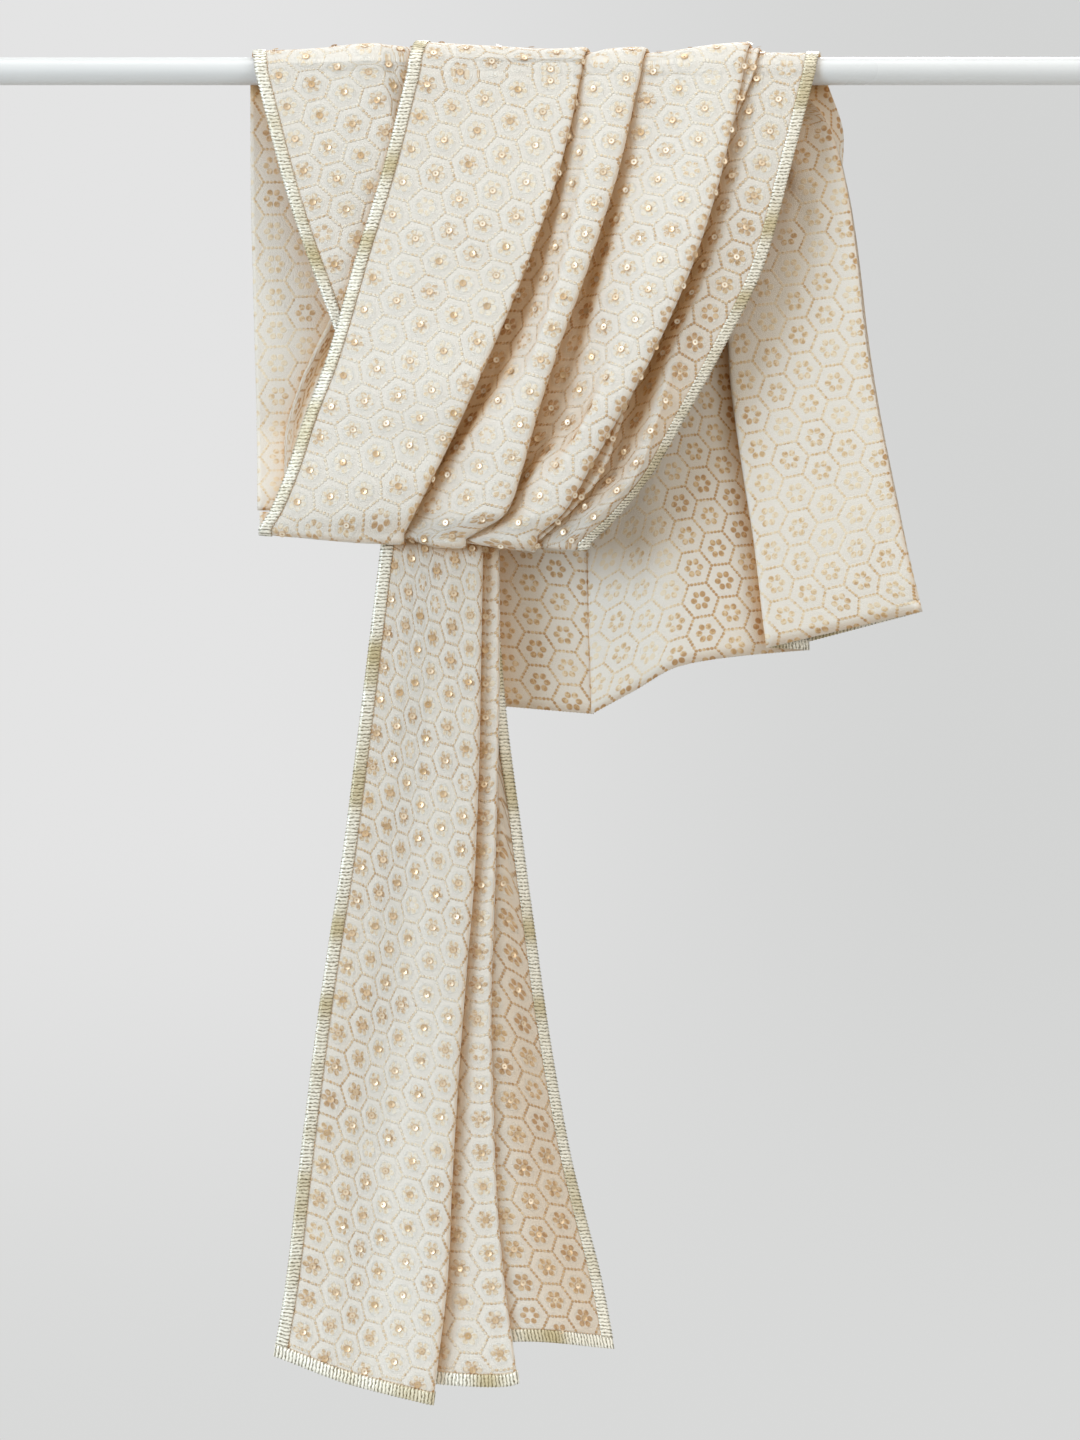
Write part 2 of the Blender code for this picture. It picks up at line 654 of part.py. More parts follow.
def main():
    for obj in list(bpy.data.objects):
        bpy.data.objects.remove(obj, do_unlink=True)
    bpy.context.scene.collection.children.link(bpy.data.collections.new(COLLECTION))
    ivory = make_material("ivory_cloth", (0.80, 0.74, 0.64), 0.8)
    gold = make_material("champagne_lace", (0.72, 0.65, 0.46), 0.35, 0.9)
    white = make_material("white_rail", (0.86, 0.86, 0.86), 0.35)

    build_rail(white)
    swag = swag_rows()
    tail = tail_rows()
    loop = loop_rows()
    back = back_rows()
    add_sheet("tail_front", parted(subdivided(tail, WIDE_TAIL)), CLOTH_WALL, ivory)
    add_sheet("loop_back", parted(subdivided(loop, WIDE_TAIL)), CLOTH_WALL, ivory)
    add_sheet("swag_front", parted(subdivided(swag, WIDE_SWAG)), CLOTH_WALL, ivory)
    add_sheet("back_end", subdivided(back, WIDE_BACK), CLOTH_WALL, ivory)

    add_lace("lace_tail_left", border_strip(tail[1:], False), gold)
    add_lace("lace_tail_right", border_strip(tail[1:TAIL_LACE_END], True), gold)
    add_lace("lace_tail_hem", hem_strip(tail[0], tail[1]), gold)
    add_lace("lace_loop_left", border_strip(loop, False), gold)
    add_lace("lace_swag_left", border_strip(swag, False), gold)
    add_lace("lace_swag_right", border_strip(swag, True), gold)
    add_lace("lace_back_left", border_strip(back[:-1], False), gold)
    add_lace("lace_back_right", border_strip(back[:-1], True), gold)
    add_lace("lace_back_hem", hem_strip(back[-2], back[-1]), gold)


if __name__ == "__main__":
    main()
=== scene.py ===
"""Looks of a dupatta stole on its rail: cloth, lace, sequins, light and camera, for Blender 4.5.

The cloth's sections come from the same named sizes and tables as the solids, in millimetres, with finer
steps. Every stretch carries its place on the flat cloth in metres (u across from the left border, v along
from the front hem), which the woven pattern and the sequins follow.
"""
import math
from collections import namedtuple

import bpy
import numpy as np
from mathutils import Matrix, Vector, noise


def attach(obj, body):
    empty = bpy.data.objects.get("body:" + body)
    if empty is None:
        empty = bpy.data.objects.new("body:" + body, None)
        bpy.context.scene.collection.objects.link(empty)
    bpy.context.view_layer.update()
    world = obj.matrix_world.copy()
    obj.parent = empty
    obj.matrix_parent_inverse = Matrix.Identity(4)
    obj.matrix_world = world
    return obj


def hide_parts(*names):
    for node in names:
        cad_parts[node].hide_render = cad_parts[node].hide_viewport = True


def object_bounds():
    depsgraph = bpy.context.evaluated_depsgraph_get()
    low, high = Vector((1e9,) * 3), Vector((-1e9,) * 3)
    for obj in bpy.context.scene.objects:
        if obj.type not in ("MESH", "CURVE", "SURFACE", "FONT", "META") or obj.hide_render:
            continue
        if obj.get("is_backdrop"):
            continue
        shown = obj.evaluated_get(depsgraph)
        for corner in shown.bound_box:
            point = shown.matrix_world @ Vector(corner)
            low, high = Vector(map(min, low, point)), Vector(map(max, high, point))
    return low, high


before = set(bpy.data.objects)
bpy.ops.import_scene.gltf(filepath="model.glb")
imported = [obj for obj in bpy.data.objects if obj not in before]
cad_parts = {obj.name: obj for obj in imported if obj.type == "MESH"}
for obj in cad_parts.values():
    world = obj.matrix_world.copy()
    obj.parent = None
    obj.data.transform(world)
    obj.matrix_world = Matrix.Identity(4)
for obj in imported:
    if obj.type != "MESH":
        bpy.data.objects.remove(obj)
CAD_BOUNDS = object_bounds()

MM = 0.001

# Cloth and the metallic lace on its edges
CLOTH_WALL = 1.0
LACE_WIDTH = 10.0
LACE_GAP = 0.3

# Drop behind the rail where one stretch of the cloth ends and the next begins
SEAM_DROP = 8.0

# The front view that the widths and drops below are measured in, from 2.7 m away at mid height
VIEW_DISTANCE = 2700.0
VIEW_DROP = 519.0

# Steps of the loft round the rail and round the bottom crease, and the fineness of the meshes, in mm
RAIL_ARC_STEPS = 16
CURL_STEPS = 10
ACROSS_STEP = 4.2
ALONG_STEP = 4.6

# How far each turn over the rail runs sideways, for each mm along the cloth
SWAG_LEAN = 0.22
TAIL_LEAN = -0.13


def smooth(stops, values, at):
    """Value at a place between stops, on a smooth curve that never overshoots them."""
    if at <= stops[0]:
        return values[0]
    if at >= stops[-1]:
        return values[-1]
    rises = [(values[i + 1] - values[i]) / (stops[i + 1] - stops[i]) for i in range(len(stops) - 1)]
    slopes = [rises[0]]
    for before, after in zip(rises, rises[1:]):
        same_way = before * after > 0
        slopes.append(2 * before * after / (before + after) if same_way else 0.0)
    slopes.append(rises[-1])
    i = max(k for k in range(len(stops) - 1) if stops[k] <= at)
    span = stops[i + 1] - stops[i]
    t = (at - stops[i]) / span
    start = (1 + 2 * t) * (1 - t) ** 2 * values[i] + t * (1 - t) ** 2 * span * slopes[i]
    end = t * t * (3 - 2 * t) * values[i + 1] - t * t * (1 - t) * span * slopes[i + 1]
    return start + end


def eased(value, start, end):
    """Share from 0 to 1 of the way from start to end, easing at both."""
    t = np.clip((value - start) / (end - start), 0, 1)
    return t * t * (3 - 2 * t)


def dense(*levels):
    """The levels with more between them, no further apart than a step of the mesh."""
    result = [levels[0]]
    for start, end in zip(levels, levels[1:]):
        count = max(1, math.ceil(abs(end - start) / ALONG_STEP))
        result += [start + (end - start) * (k + 1) / count for k in range(count)]
    return tuple(result)


def seen(x, y, z):
    """Point at depth y that covers (x, z) of the rail's plane in the front view."""
    scale = (VIEW_DISTANCE + y) / VIEW_DISTANCE
    return Vector((x * scale, y, (z + VIEW_DROP) * scale - VIEW_DROP))


def over_rail(front, lean, angle):
    """Point of a turn over the rail that leaves the front at this point's height, radius and place.

    The angle runs from 180 degrees at the front to 0 at the back.
    """
    radius = -front.y
    turned = math.pi - angle
    return Vector((front.x + lean * radius * turned, radius * math.cos(angle), radius * math.sin(angle)))


# The swag: levels below the rail's axis where its folds are measured
SWAG_DROPS = (0, 76, 152, 228, 280, 320, 352, 376)

# edge: place of the fold's front edge. under: how far the cloth goes back behind that edge.
# hollow: from the edge to where the next panel stands proud. knee: where the panel starts to rise.
# front, valley, ridge: depths of the edge, of the bottom of the hollow and of the next panel's rise.
# crease: drop of the turned-under bottom at the fold
SwagFold = namedtuple("SwagFold", "name edge under hollow knee front valley ridge crease")
SWAG_FOLDS = (
    SwagFold(
        name="a",
        edge=(32.6, 16.5, -9.2, -41.1, -65.1, -84.3, -100.4, -109.6),
        under=(26, 22, 16, 14, 14, 16, 18, 18),
        hollow=(4, 12, 22, 28, 20, 6, 4, 3),
        knee=(30, 28, 24, 22, 22, 24, 26, 26),
        front=(-17.7, -29, -39, -46, -49, -48, -46, -38),
        valley=(-13.9, -17, -21, -25, -28, -31, -32, -33),
        ridge=(-14.2, -22, -31, -38, -40, -36, -35, -34),
        crease=377,
    ),
    SwagFold(
        name="b",
        edge=(80.3, 62.1, 39.0, 12.0, -5.1, -15.6, -27.2, -60.0),
        under=(26, 20, 14, 12, 12, 12, 16, 20),
        hollow=(8, 17, 17, 30, 38, 14, 4, 3),
        knee=(30, 24, 18, 16, 16, 16, 20, 24),
        front=(-17.7, -29, -40, -47, -50, -52, -50, -38),
        valley=(-13.9, -17, -21, -26, -30, -34, -36, -33),
        ridge=(-14.2, -21, -30, -36, -41, -44, -40, -34),
        crease=380,
    ),
    SwagFold(
        name="c",
        edge=(162.3, 146.0, 121.3, 88.4, 59.7, 37.4, 18.6, -2.4),
        under=(20, 20, 20, 20, 20, 18, 16, 16),
        hollow=(3, -14, -14, -12, -8, 4, -3, -8),
        knee=(24, 24, 24, 24, 24, 22, 20, 20),
        front=(-21.5, -33, -44, -51, -54, -54, -52, -43),
        valley=(-17.7, -25, -32, -37, -40, -43, -43, -38),
        ridge=(-17.7, -25, -32, -37, -41, -45, -44, -38),
        crease=382,
    ),
    SwagFold(
        name="d",
        edge=(171.2, 140.8, 115.2, 84.0, 64.0, 49.6, 24.0, -4.0),
        under=(20, 20, 20, 20, 20, 18, 16, 14),
        hollow=(6, 21, 23, 22, 28, 29, 27, 31),
        knee=(5, 5, 5, 5, 5, 5, 5, 4),
        front=(-17.7, -25, -32, -37, -41, -46, -45, -38),
        valley=(-13.9, -18, -20, -24, -28, -33, -35, -33),
        ridge=(-14.2, -20, -28, -35, -40, -44, -46, -37),
        crease=384,
    ),
)

# Thickness of a fold's rounded edge and of its hidden turn, at each level
SWAG_NOSE = (1.9, 3, 5, 6, 6, 5, 4, 2.5)

SwagEdge = namedtuple("SwagEdge", "place depth crease")
SWAG_LEFT = SwagEdge(
    place=(-106.2, -125.1, -148.2, -169.9, -189.4, -202.6, -216.2, -225.0),
    depth=(-22.9, -26, -28, -30, -32, -34, -35.5, -36),
    crease=369.7,
)
SWAG_RIGHT = SwagEdge(
    place=(220.3, 200.6, 180.0, 143.2, 114.2, 90.4, 65.4, 40.0),
    depth=(-13.9, -17, -20, -24, -27, -31, -34, -34),
    crease=381,
)

# The turned-under bottom of the swag: where its back lies, how far that is closed up, and its height
LIP_DEPTH = -29.0
LIP_CLOSING = 0.7
LIP_TOP_DROP = 354.0

# Levels of the swag's rows, from its bottom crease up to the rail's axis
SWAG_LEVELS = dense(373, 364, 350, 335, 318, 300, 280, 256, 228, 198, 168, 138, 108, 78, 50, 24, 0)

# How far a fold's panel leans back at its knee, and where the outer fold's two lines lie on the panel
KNEE_LEAN = 0.4
OUTER_FOLD_SHARES = (0.35, 0.65)

# Points that each fold adds to the swag's sections, and the numbers of the back end's outer panel's first
# point and of its folded edge
POINTS_PER_FOLD = 6
OUTER_PANEL = 18
OUTER_FOLD = 26


def swag_section(drop):
    """Points across the swag at one level, from the left border to the right one."""

    def level(values):
        return smooth(SWAG_DROPS, values, drop)

    def place(x, y, crease, crease_depth):
        bottom = -(crease - lip_radius(crease_depth))
        heights = [-stop for stop in SWAG_DROPS[:-1]] + [bottom]
        return seen(x, y, smooth(SWAG_DROPS, heights, drop))

    nose = level(SWAG_NOSE)
    points = []
    left = level(SWAG_LEFT.place), level(SWAG_LEFT.depth)
    points.append(place(*left, SWAG_LEFT.crease, SWAG_LEFT.depth[-1]))
    for fold in SWAG_FOLDS:
        edge = level(fold.edge)
        root = edge - level(fold.under)
        front = level(fold.front)
        valley = level(fold.valley)
        across = (
            (edge - level(fold.knee), front + KNEE_LEAN),
            (edge, front),
            (edge, front + nose),
            (root, valley - nose),
            (root, valley),
            (edge + level(fold.hollow), level(fold.ridge)),
        )
        points += [place(x, y, fold.crease, fold.front[-1]) for x, y in across]
    ridge = points[-1]
    right = place(level(SWAG_RIGHT.place), level(SWAG_RIGHT.depth), SWAG_RIGHT.crease, SWAG_RIGHT.depth[-1])
    trim = right + (ridge - right).normalized() * LACE_WIDTH
    points += [ridge.lerp(trim, share) for share in OUTER_FOLD_SHARES] + [right]
    return with_trim_points(points)


def lip_depth(depth):
    """Depth behind the bottom crease of the cloth that lies at this depth in front of it."""
    return LIP_DEPTH + LIP_CLOSING * (SWAG_FOLDS[0].valley[-1] - depth)


def lip_radius(depth):
    """Radius of the bottom crease for cloth at this depth in front of it."""
    return (lip_depth(depth) - depth) / 2


def with_trim_points(points):
    """The points with one more beside each border, a lace's width inside it."""
    left = points[0] + (points[1] - points[0]).normalized() * LACE_WIDTH
    right = points[-1] + (points[-2] - points[-1]).normalized() * LACE_WIDTH
    return [points[0], left] + points[1:-1] + [right, points[-1]]


def swag_rows():
    """Sections of the swag along the cloth: lip, bottom crease, front, and over the rail."""
    bottom = swag_section(SWAG_DROPS[-1])
    rows = []
    for share in (1.0, 0.5):
        rows.append([Vector((p.x, lip_depth(p.y), p.z + share * (-LIP_TOP_DROP - p.z))) for p in bottom])
    for k in range(CURL_STEPS + 1):
        angle = math.pi * k / CURL_STEPS
        row = []
        for p in bottom:
            radius = lip_radius(p.y)
            centre = p.y + radius
            row.append(Vector((p.x, centre + radius * math.cos(angle), p.z - radius * math.sin(angle))))
        rows.append(row)
    for drop in SWAG_LEVELS:
        rows.append(swag_section(drop))
    rows += turn_rows(swag_section(0), SWAG_LEAN)
    return rows + [back_section(rows[-1], SEAM_DROP)]


def turn_rows(front_row, lean):
    """Sections over the rail, after the one at the front, to the one at the back."""
    rows = []
    for k in range(1, RAIL_ARC_STEPS + 1):
        angle = math.pi * (1 - k / RAIL_ARC_STEPS)
        rows.append([over_rail(p, lean, angle) for p in front_row])
    return rows


# The back end: levels below the rail's axis, and its folds as they hang there.
# point: the number of the swag's point that carries on down as this line
BACK_DROPS = (0, 50, 110, 230, 400, 470)
BackLine = namedtuple("BackLine", "name point place depth thick hem")
BACK_LINES = (
    BackLine("left_border", 0, (None, -91, -88, -82, -72, -64), (None, 22, 24, 25, 24, 24), 0, 505),
    BackLine("deep_line", 11, (None, 50, 42, 36, 39, 41.6), (None, 18, 19, 25, 34, 37), -1.5, 514),
    BackLine("near_line", 14, (None, 122, 100, 84, 103, 111), (None, 22, 24, 23, 20, 18), 0, 476),
    BackLine("fold_root", 15, (None, 173, 172, 182, 206, 214), (None, 26, 28, 32, 37, 39), -4, 463),
    BackLine("fold_edge", 17, (None, 150, 148, 152, 175, 182.4), (None, 21, 22, 23, 23, 23), -4, 461),
    BackLine("outer_fold", 26, (None, 235, 248, 263, 297, 304.8), (None, 17, 19, 21, 23, 25), 5, 432.4),
    BackLine("right_border", 29, (None, 244, 238, 228, 212, 199), (None, 31, 35, 39, 44, 47), 0, 460.5),
)
BACK_LEVELS = dense(20, 32, 45, 60, 75, 92, 110, 130, 150, 170, 190, 210, 230, 272, 315, 358, 400, 436, 452)

# How far below the rail the back end's hidden pleats have spread sideways, and between which they go flat
SPREADING_DROP = 130.0
FLAT_START_DROP = 91.0
FLAT_DROP = 210.0

# How far the edge of a pleat stands out from the cloth while it spreads, by the swag's point number
BACK_STANDING = {3: 7, 4: 6, 9: 7, 10: 6, 20: 1.5, 21: 5, 22: 4, 23: -1.5, 24: -1.5, 25: -0.5}


def back_line_points(line, top_row, drop):
    """The one or two points of a fold line of the back end at one level."""
    count = 2 if line.thick else 1
    points = []
    for k in range(count):
        top = top_row[line.point + k]
        x = smooth(BACK_DROPS, (top.x,) + line.place[1:], drop)
        depths = (top.y,) + tuple(depth + line.thick * k for depth in line.depth[1:])
        y = smooth(BACK_DROPS, depths, drop)
        heights = tuple(-stop for stop in BACK_DROPS[:-1]) + (-line.hem,)
        points.append(seen_level(x, y, smooth(BACK_DROPS, heights, drop), drop))
    return points


def seen_level(x, y, z, drop):
    """Like seen, but easing in from the rail, where the turn has its own width."""
    easing = min(1.0, drop / BACK_DROPS[2])
    return Vector((x, y, z)).lerp(seen(x, y, z), easing)


def back_section(top_row, drop):
    """Points across the back end at one level, as many as the swag has."""
    fixed = {}
    for line in BACK_LINES:
        for k, point in enumerate(back_line_points(line, top_row, drop)):
            fixed[line.point + k] = point
    numbers = sorted(fixed)
    row = []
    for start, end in zip(numbers, numbers[1:]):
        for n in range(start, end):
            share = (n - start) / (end - start)
            spread = fixed[start].lerp(fixed[end], share)
            moved = (fixed[start] - top_row[start]).lerp(fixed[end] - top_row[end], share)
            gathered = top_row[n] + moved
            aside = eased(drop, 0, SPREADING_DROP)
            flat = eased(drop, FLAT_START_DROP, FLAT_DROP)
            x = gathered.x + aside * (spread.x - gathered.x)
            y = gathered.y + flat * (spread.y - gathered.y)
            y += BACK_STANDING.get(n, 0) * math.sin(math.pi * aside)
            row.append(Vector((x, y, spread.z)))
    row.append(fixed[numbers[-1]])
    return row


def back_rows():
    """Sections of the back end, from the rail to its hem."""
    top_row = turn_rows(swag_section(0), SWAG_LEAN)[-1]
    rows = [back_section(top_row, SEAM_DROP)]
    for drop in BACK_LEVELS + (BACK_DROPS[-1],):
        rows.append(back_section(top_row, drop))
    rows.insert(-1, trim_row(rows[-1], rows[-2]))
    return rows


# The tail: its points across, on the rail, at the waist under the swag, and how they gather.
TailPoint = namedtuple("TailPoint", "name rail radius")
TAIL_POINTS = (
    TailPoint("left_border", -228, 15.4),
    TailPoint("middle", -180, 17.4),
    TailPoint("a_knee", -138, 21.4),
    TailPoint("a_edge_out", -126, 21.4),
    TailPoint("a_edge_in", -120, 20.6),
    TailPoint("a_valley_in", -94, 17.4),
    TailPoint("a_valley_out", -86, 16.4),
    TailPoint("a_ridge", -58, 13.2),
    TailPoint("b_knee", -12, 12.2),
    TailPoint("b_edge_out", 5, 12.2),
    TailPoint("b_edge_in", 12, 12.2),
    TailPoint("b_valley_in", 60, 12.2),
    TailPoint("b_valley_out", 68, 12.2),
    TailPoint("b_ridge", 110, 12.2),
    TailPoint("right_border", 200, 12.2),
)
WAIST_DROP = 379.0

# While the tail's pleats form, their hidden turns stand this far off
TAIL_STANDING = 6.0
TAIL_GATHER_DROPS = (0, 103, 203, 250, 295, 340, 379)
TAIL_GATHER = (0, 0.27, 0.62, 0.80, 0.96, 1.0, 1.0)

# Levels of the hanging tail, the last one its hem, and its edges and fold edges there
TAIL_DROPS = (379, 503, 623, 743, 863, 967, 1045)
TailLine = namedtuple("TailLine", "place under hem")
TAIL_LEFT = TailLine((-127.2, -142.4, -157.6, -176.0, -191.2, -203.2, -213.1), None, 1027.6)
TAIL_FOLD_A = TailLine(
    (-46.4, -48.5, -53.2, -61.3, -69.8, -75.4, -86.8), (66, 68, 70, 72, 72, 72, 72), 1066.8
)
TAIL_FOLD_B = TailLine(
    (-33.6, -33.6, -36.0, -39.8, -36.8, -29.3, -18.4), (64, 66, 70, 72, 72, 72, 72), 1050.0
)
TAIL_RIGHT = TailLine((-36.8, -28.6, -13.4, 3.2, 23.2, 48.8, 59.2), None, 1022.0)
TAIL_HIDDEN_HEM = 1038.0

# The tail's other points: how far across a panel and down its hem they lie, and how far off a fold's edge
TAIL_MIDDLE = 0.45
TAIL_MIDDLE_HEM = 0.55
TAIL_KNEE_HEM = 0.93
TAIL_RIDGE_SHARE = 0.5
TAIL_KNEE_A = 12.0
TAIL_KNEE_B = 8.0
TAIL_RIDGE_A = 3.0
TAIL_RIDGE_B = 4.0
TAIL_RIDGE_HEM = 6.0
TAIL_KNEE_B_HEM = 2.0
TAIL_EDGE_IN_HEM = 1.0

# Depths of the tail's points at those levels
TAIL_DEPTHS = {
    "left_border": (-22.5, -21.5, -20.0, -19.0, -18.0, -17.0, -16.0),
    "middle": (-23.5, -22.0, -19.0, -16.0, -15.0, -16.5, -20.0),
    "a_knee": (-22.5, -22.5, -23.0, -24.0, -25.0, -26.0, -26.5),
    "a_edge_out": (-22.5, -22.5, -23.0, -24.0, -25.0, -26.0, -27.0),
    "a_edge_in": (-18.1, -18.1, -18.5, -19.0, -20.0, -21.0, -22.0),
    "a_valley_in": (-18.1, -15.5, -12.0, -10.0, -9.5, -9.5, -10.5),
    "a_valley_out": (-13.7, -11.0, -7.5, -5.5, -5.0, -5.0, -6.0),
    "a_ridge": (-13.7, -14.0, -14.0, -14.5, -15.0, -15.5, -16.0),
    "b_knee": (-13.7, -14.0, -15.0, -16.0, -17.0, -18.0, -18.5),
    "b_edge_out": (-13.7, -14.0, -15.0, -16.0, -17.0, -18.0, -19.0),
    "b_edge_in": (-9.3, -9.5, -10.0, -11.0, -12.0, -13.0, -14.0),
    "b_valley_in": (-9.3, -6.5, -3.5, -1.5, -1.0, -1.0, -2.0),
    "b_valley_out": (-4.9, -2.0, 1.5, 3.5, 4.0, 4.0, 3.0),
    "b_ridge": (-4.9, -5.0, -6.0, -7.5, -9.0, -10.0, -10.0),
    "right_border": (-4.9, 0.0, 5.0, 14.0, 24.0, 27.0, 20.0),
}
TAIL_LEVELS = dense(20, 50, 85, 115, 140, 165, 190, 215, 240, 270, 300, 335, 379)
TAIL_HANG_LEVELS = dense(
    410, 450, 503, 543, 583, 623, 663, 703, 743, 783, 823, 863, 898, 932, 967, 1000, 1022, 1033
)


def tail_hang_section(drop):
    """Points across the hanging tail at one level, from the left border to the right one."""

    def level(values):
        return smooth(TAIL_DROPS, values, drop)

    def point(name, x, hem):
        heights = [-stop for stop in TAIL_DROPS[:-1]] + [-hem]
        return seen(x, level(TAIL_DEPTHS[name]), level(heights))

    left = level(TAIL_LEFT.place)
    edge_a = level(TAIL_FOLD_A.place)
    root_a = edge_a - level(TAIL_FOLD_A.under)
    edge_b = level(TAIL_FOLD_B.place)
    root_b = edge_b - level(TAIL_FOLD_B.under)
    right = level(TAIL_RIGHT.place)
    middle = left + TAIL_MIDDLE * (edge_a - left)
    middle_hem = TAIL_LEFT.hem + TAIL_MIDDLE_HEM * (TAIL_FOLD_A.hem - TAIL_LEFT.hem)
    knee_hem = TAIL_LEFT.hem + TAIL_KNEE_HEM * (TAIL_FOLD_A.hem - TAIL_LEFT.hem)
    ridge_b = max(edge_b + TAIL_RIDGE_B, root_b + TAIL_RIDGE_SHARE * (right - root_b))
    ridge_b = min(ridge_b, right - LACE_WIDTH - TAIL_RIDGE_B)
    return [
        point("left_border", left, TAIL_LEFT.hem),
        point("middle", middle, middle_hem),
        point("a_knee", edge_a - TAIL_KNEE_A, knee_hem),
        point("a_edge_out", edge_a, TAIL_FOLD_A.hem),
        point("a_edge_in", edge_a, TAIL_FOLD_A.hem - TAIL_EDGE_IN_HEM),
        point("a_valley_in", root_a, TAIL_HIDDEN_HEM),
        point("a_valley_out", root_a, TAIL_HIDDEN_HEM),
        point("a_ridge", edge_a + TAIL_RIDGE_A, TAIL_FOLD_B.hem),
        point("b_knee", edge_b - TAIL_KNEE_B, TAIL_FOLD_B.hem + TAIL_KNEE_B_HEM),
        point("b_edge_out", edge_b, TAIL_FOLD_B.hem),
        point("b_edge_in", edge_b, TAIL_FOLD_B.hem - TAIL_EDGE_IN_HEM),
        point("b_valley_in", root_b, TAIL_RIGHT.hem),
        point("b_valley_out", root_b, TAIL_RIGHT.hem),
        point("b_ridge", ridge_b, TAIL_RIGHT.hem - TAIL_RIDGE_HEM),
        point("right_border", right, TAIL_RIGHT.hem),
    ]


def tail_gather_section(drop):
    """Points across the hidden stretch between the rail and the waist."""
    share = smooth(TAIL_GATHER_DROPS, TAIL_GATHER, drop)
    waist = tail_hang_section(WAIST_DROP)
    row = []
    for start, end in zip(TAIL_POINTS, waist):
        top = seen(start.rail, -start.radius, 0)
        point = top.lerp(end, share)
        point.y = top.y + math.sqrt(share) * (end.y - top.y)
        if "valley" in start.name:
            point.y += TAIL_STANDING * math.sin(math.pi * share)
        point.z = seen(0, point.y, -drop).z
        row.append(point)
    return row


def trim_row(hem, before):
    """The row a lace's width in from a hem, towards the row before it."""
    return [edge + (inner - edge).normalized() * LACE_WIDTH for edge, inner in zip(hem, before)]


def tail_rows():
    """Sections of the tail along the cloth, from its hem to the back of the rail."""
    drops = (TAIL_DROPS[-1],) + TAIL_HANG_LEVELS[::-1]
    rows = [with_trim_points(tail_hang_section(drop)) for drop in drops]
    rows.insert(1, trim_row(rows[0], rows[1]))
    rows += [with_trim_points(tail_gather_section(drop)) for drop in TAIL_LEVELS[::-1]]
    front = with_trim_points(tail_gather_section(0))
    rows.append(front)
    rows += turn_rows(front, TAIL_LEAN)
    return rows + [loop_row(SEAM_DROP)]


# The loop's back: where the tail's points end at the fold under the swag, and its depth on the way
LoopEnd = namedtuple("LoopEnd", "place layer drop standing")
LOOP_ENDS = (
    LoopEnd(-226, 0, 351.2, 0),
    LoopEnd(-182, 0, 351.2, 0),
    LoopEnd(-152, 0, 351.2, 0),
    LoopEnd(-143, 0, 351.2, 3),
    LoopEnd(-148, 1, 350.5, 2),
    LoopEnd(-204, 1, 326, -5),
    LoopEnd(-204, 2, 326, -5),
    *(LoopEnd(place, 2, 326, 0) for place in (-190, -184, -180, -176, -170, -166, -162, -150)),
)
LOOP_DROPS = (0, 100, 200, 280, 320, 340, 351.2)
LOOP_GATHER = (0, 0.25, 0.60, 0.92, 1.0, 1.0, 1.0)
LOOP_DEPTH = (None, 12, 11, 9, -11, -23.5, -26.3)
LOOP_LAYER = -3.2
LOOP_LEVELS = dense(25, 60, 100, 140, 180, 215, 245, 270, 290, 304, 318, 330, 341, 351.2)


def loop_section(top_row, drop):
    """Points across the loop's back at one level."""
    share = smooth(LOOP_DROPS, LOOP_GATHER, drop)
    row = []
    for top, end in zip(top_row, LOOP_ENDS):
        own_drop = drop * end.drop / LOOP_DROPS[-1]
        own_layer = end.layer * LOOP_LAYER
        depths = (top.y,) + LOOP_DEPTH[1:]
        y = smooth(LOOP_DROPS, depths, own_drop) + own_layer * math.sqrt(share)
        y += end.standing * math.sin(math.pi * share)
        x = top.x + share * (end.place - top.x)
        row.append(seen_level(x, y, -own_drop, drop))
    return row


def loop_row(drop):
    """Points across the loop's back at one level, with those beside its borders."""
    top_row = turn_rows(tail_gather_section(0), TAIL_LEAN)[-1]
    return with_trim_points(loop_section(top_row, drop))


def loop_rows():
    """Sections of the loop's back, from the rail to the fold under the swag."""
    return [loop_row(drop) for drop in (SEAM_DROP,) + LOOP_LEVELS]


# The flat cloth: its width, the repeat of its woven honeycomb across and along, and its first column's place
CLOTH_WIDTH = 560.0
HEX_ACROSS = 23.6
HEX_ALONG = 26.6
FIRST_COLUMN = 17.8

# Where the folds' edges lie across the flat cloth
TAIL_EDGE_A = 150.0
TAIL_EDGE_B = 311.0
SWAG_EDGE_B = 240.0
SWAG_EDGE_C = 372.0
SWAG_EDGE_D = 420.0


def as_grid(rows):
    return np.array([[tuple(point) for point in row] for row in rows])


def segment_counts(grid):
    """How many steps the curve takes between each two neighbouring points of the rows."""
    lengths = np.linalg.norm(np.diff(grid, axis=1), axis=2).max(axis=0)
    return [max(3, math.ceil(length / ACROSS_STEP)) for length in lengths]


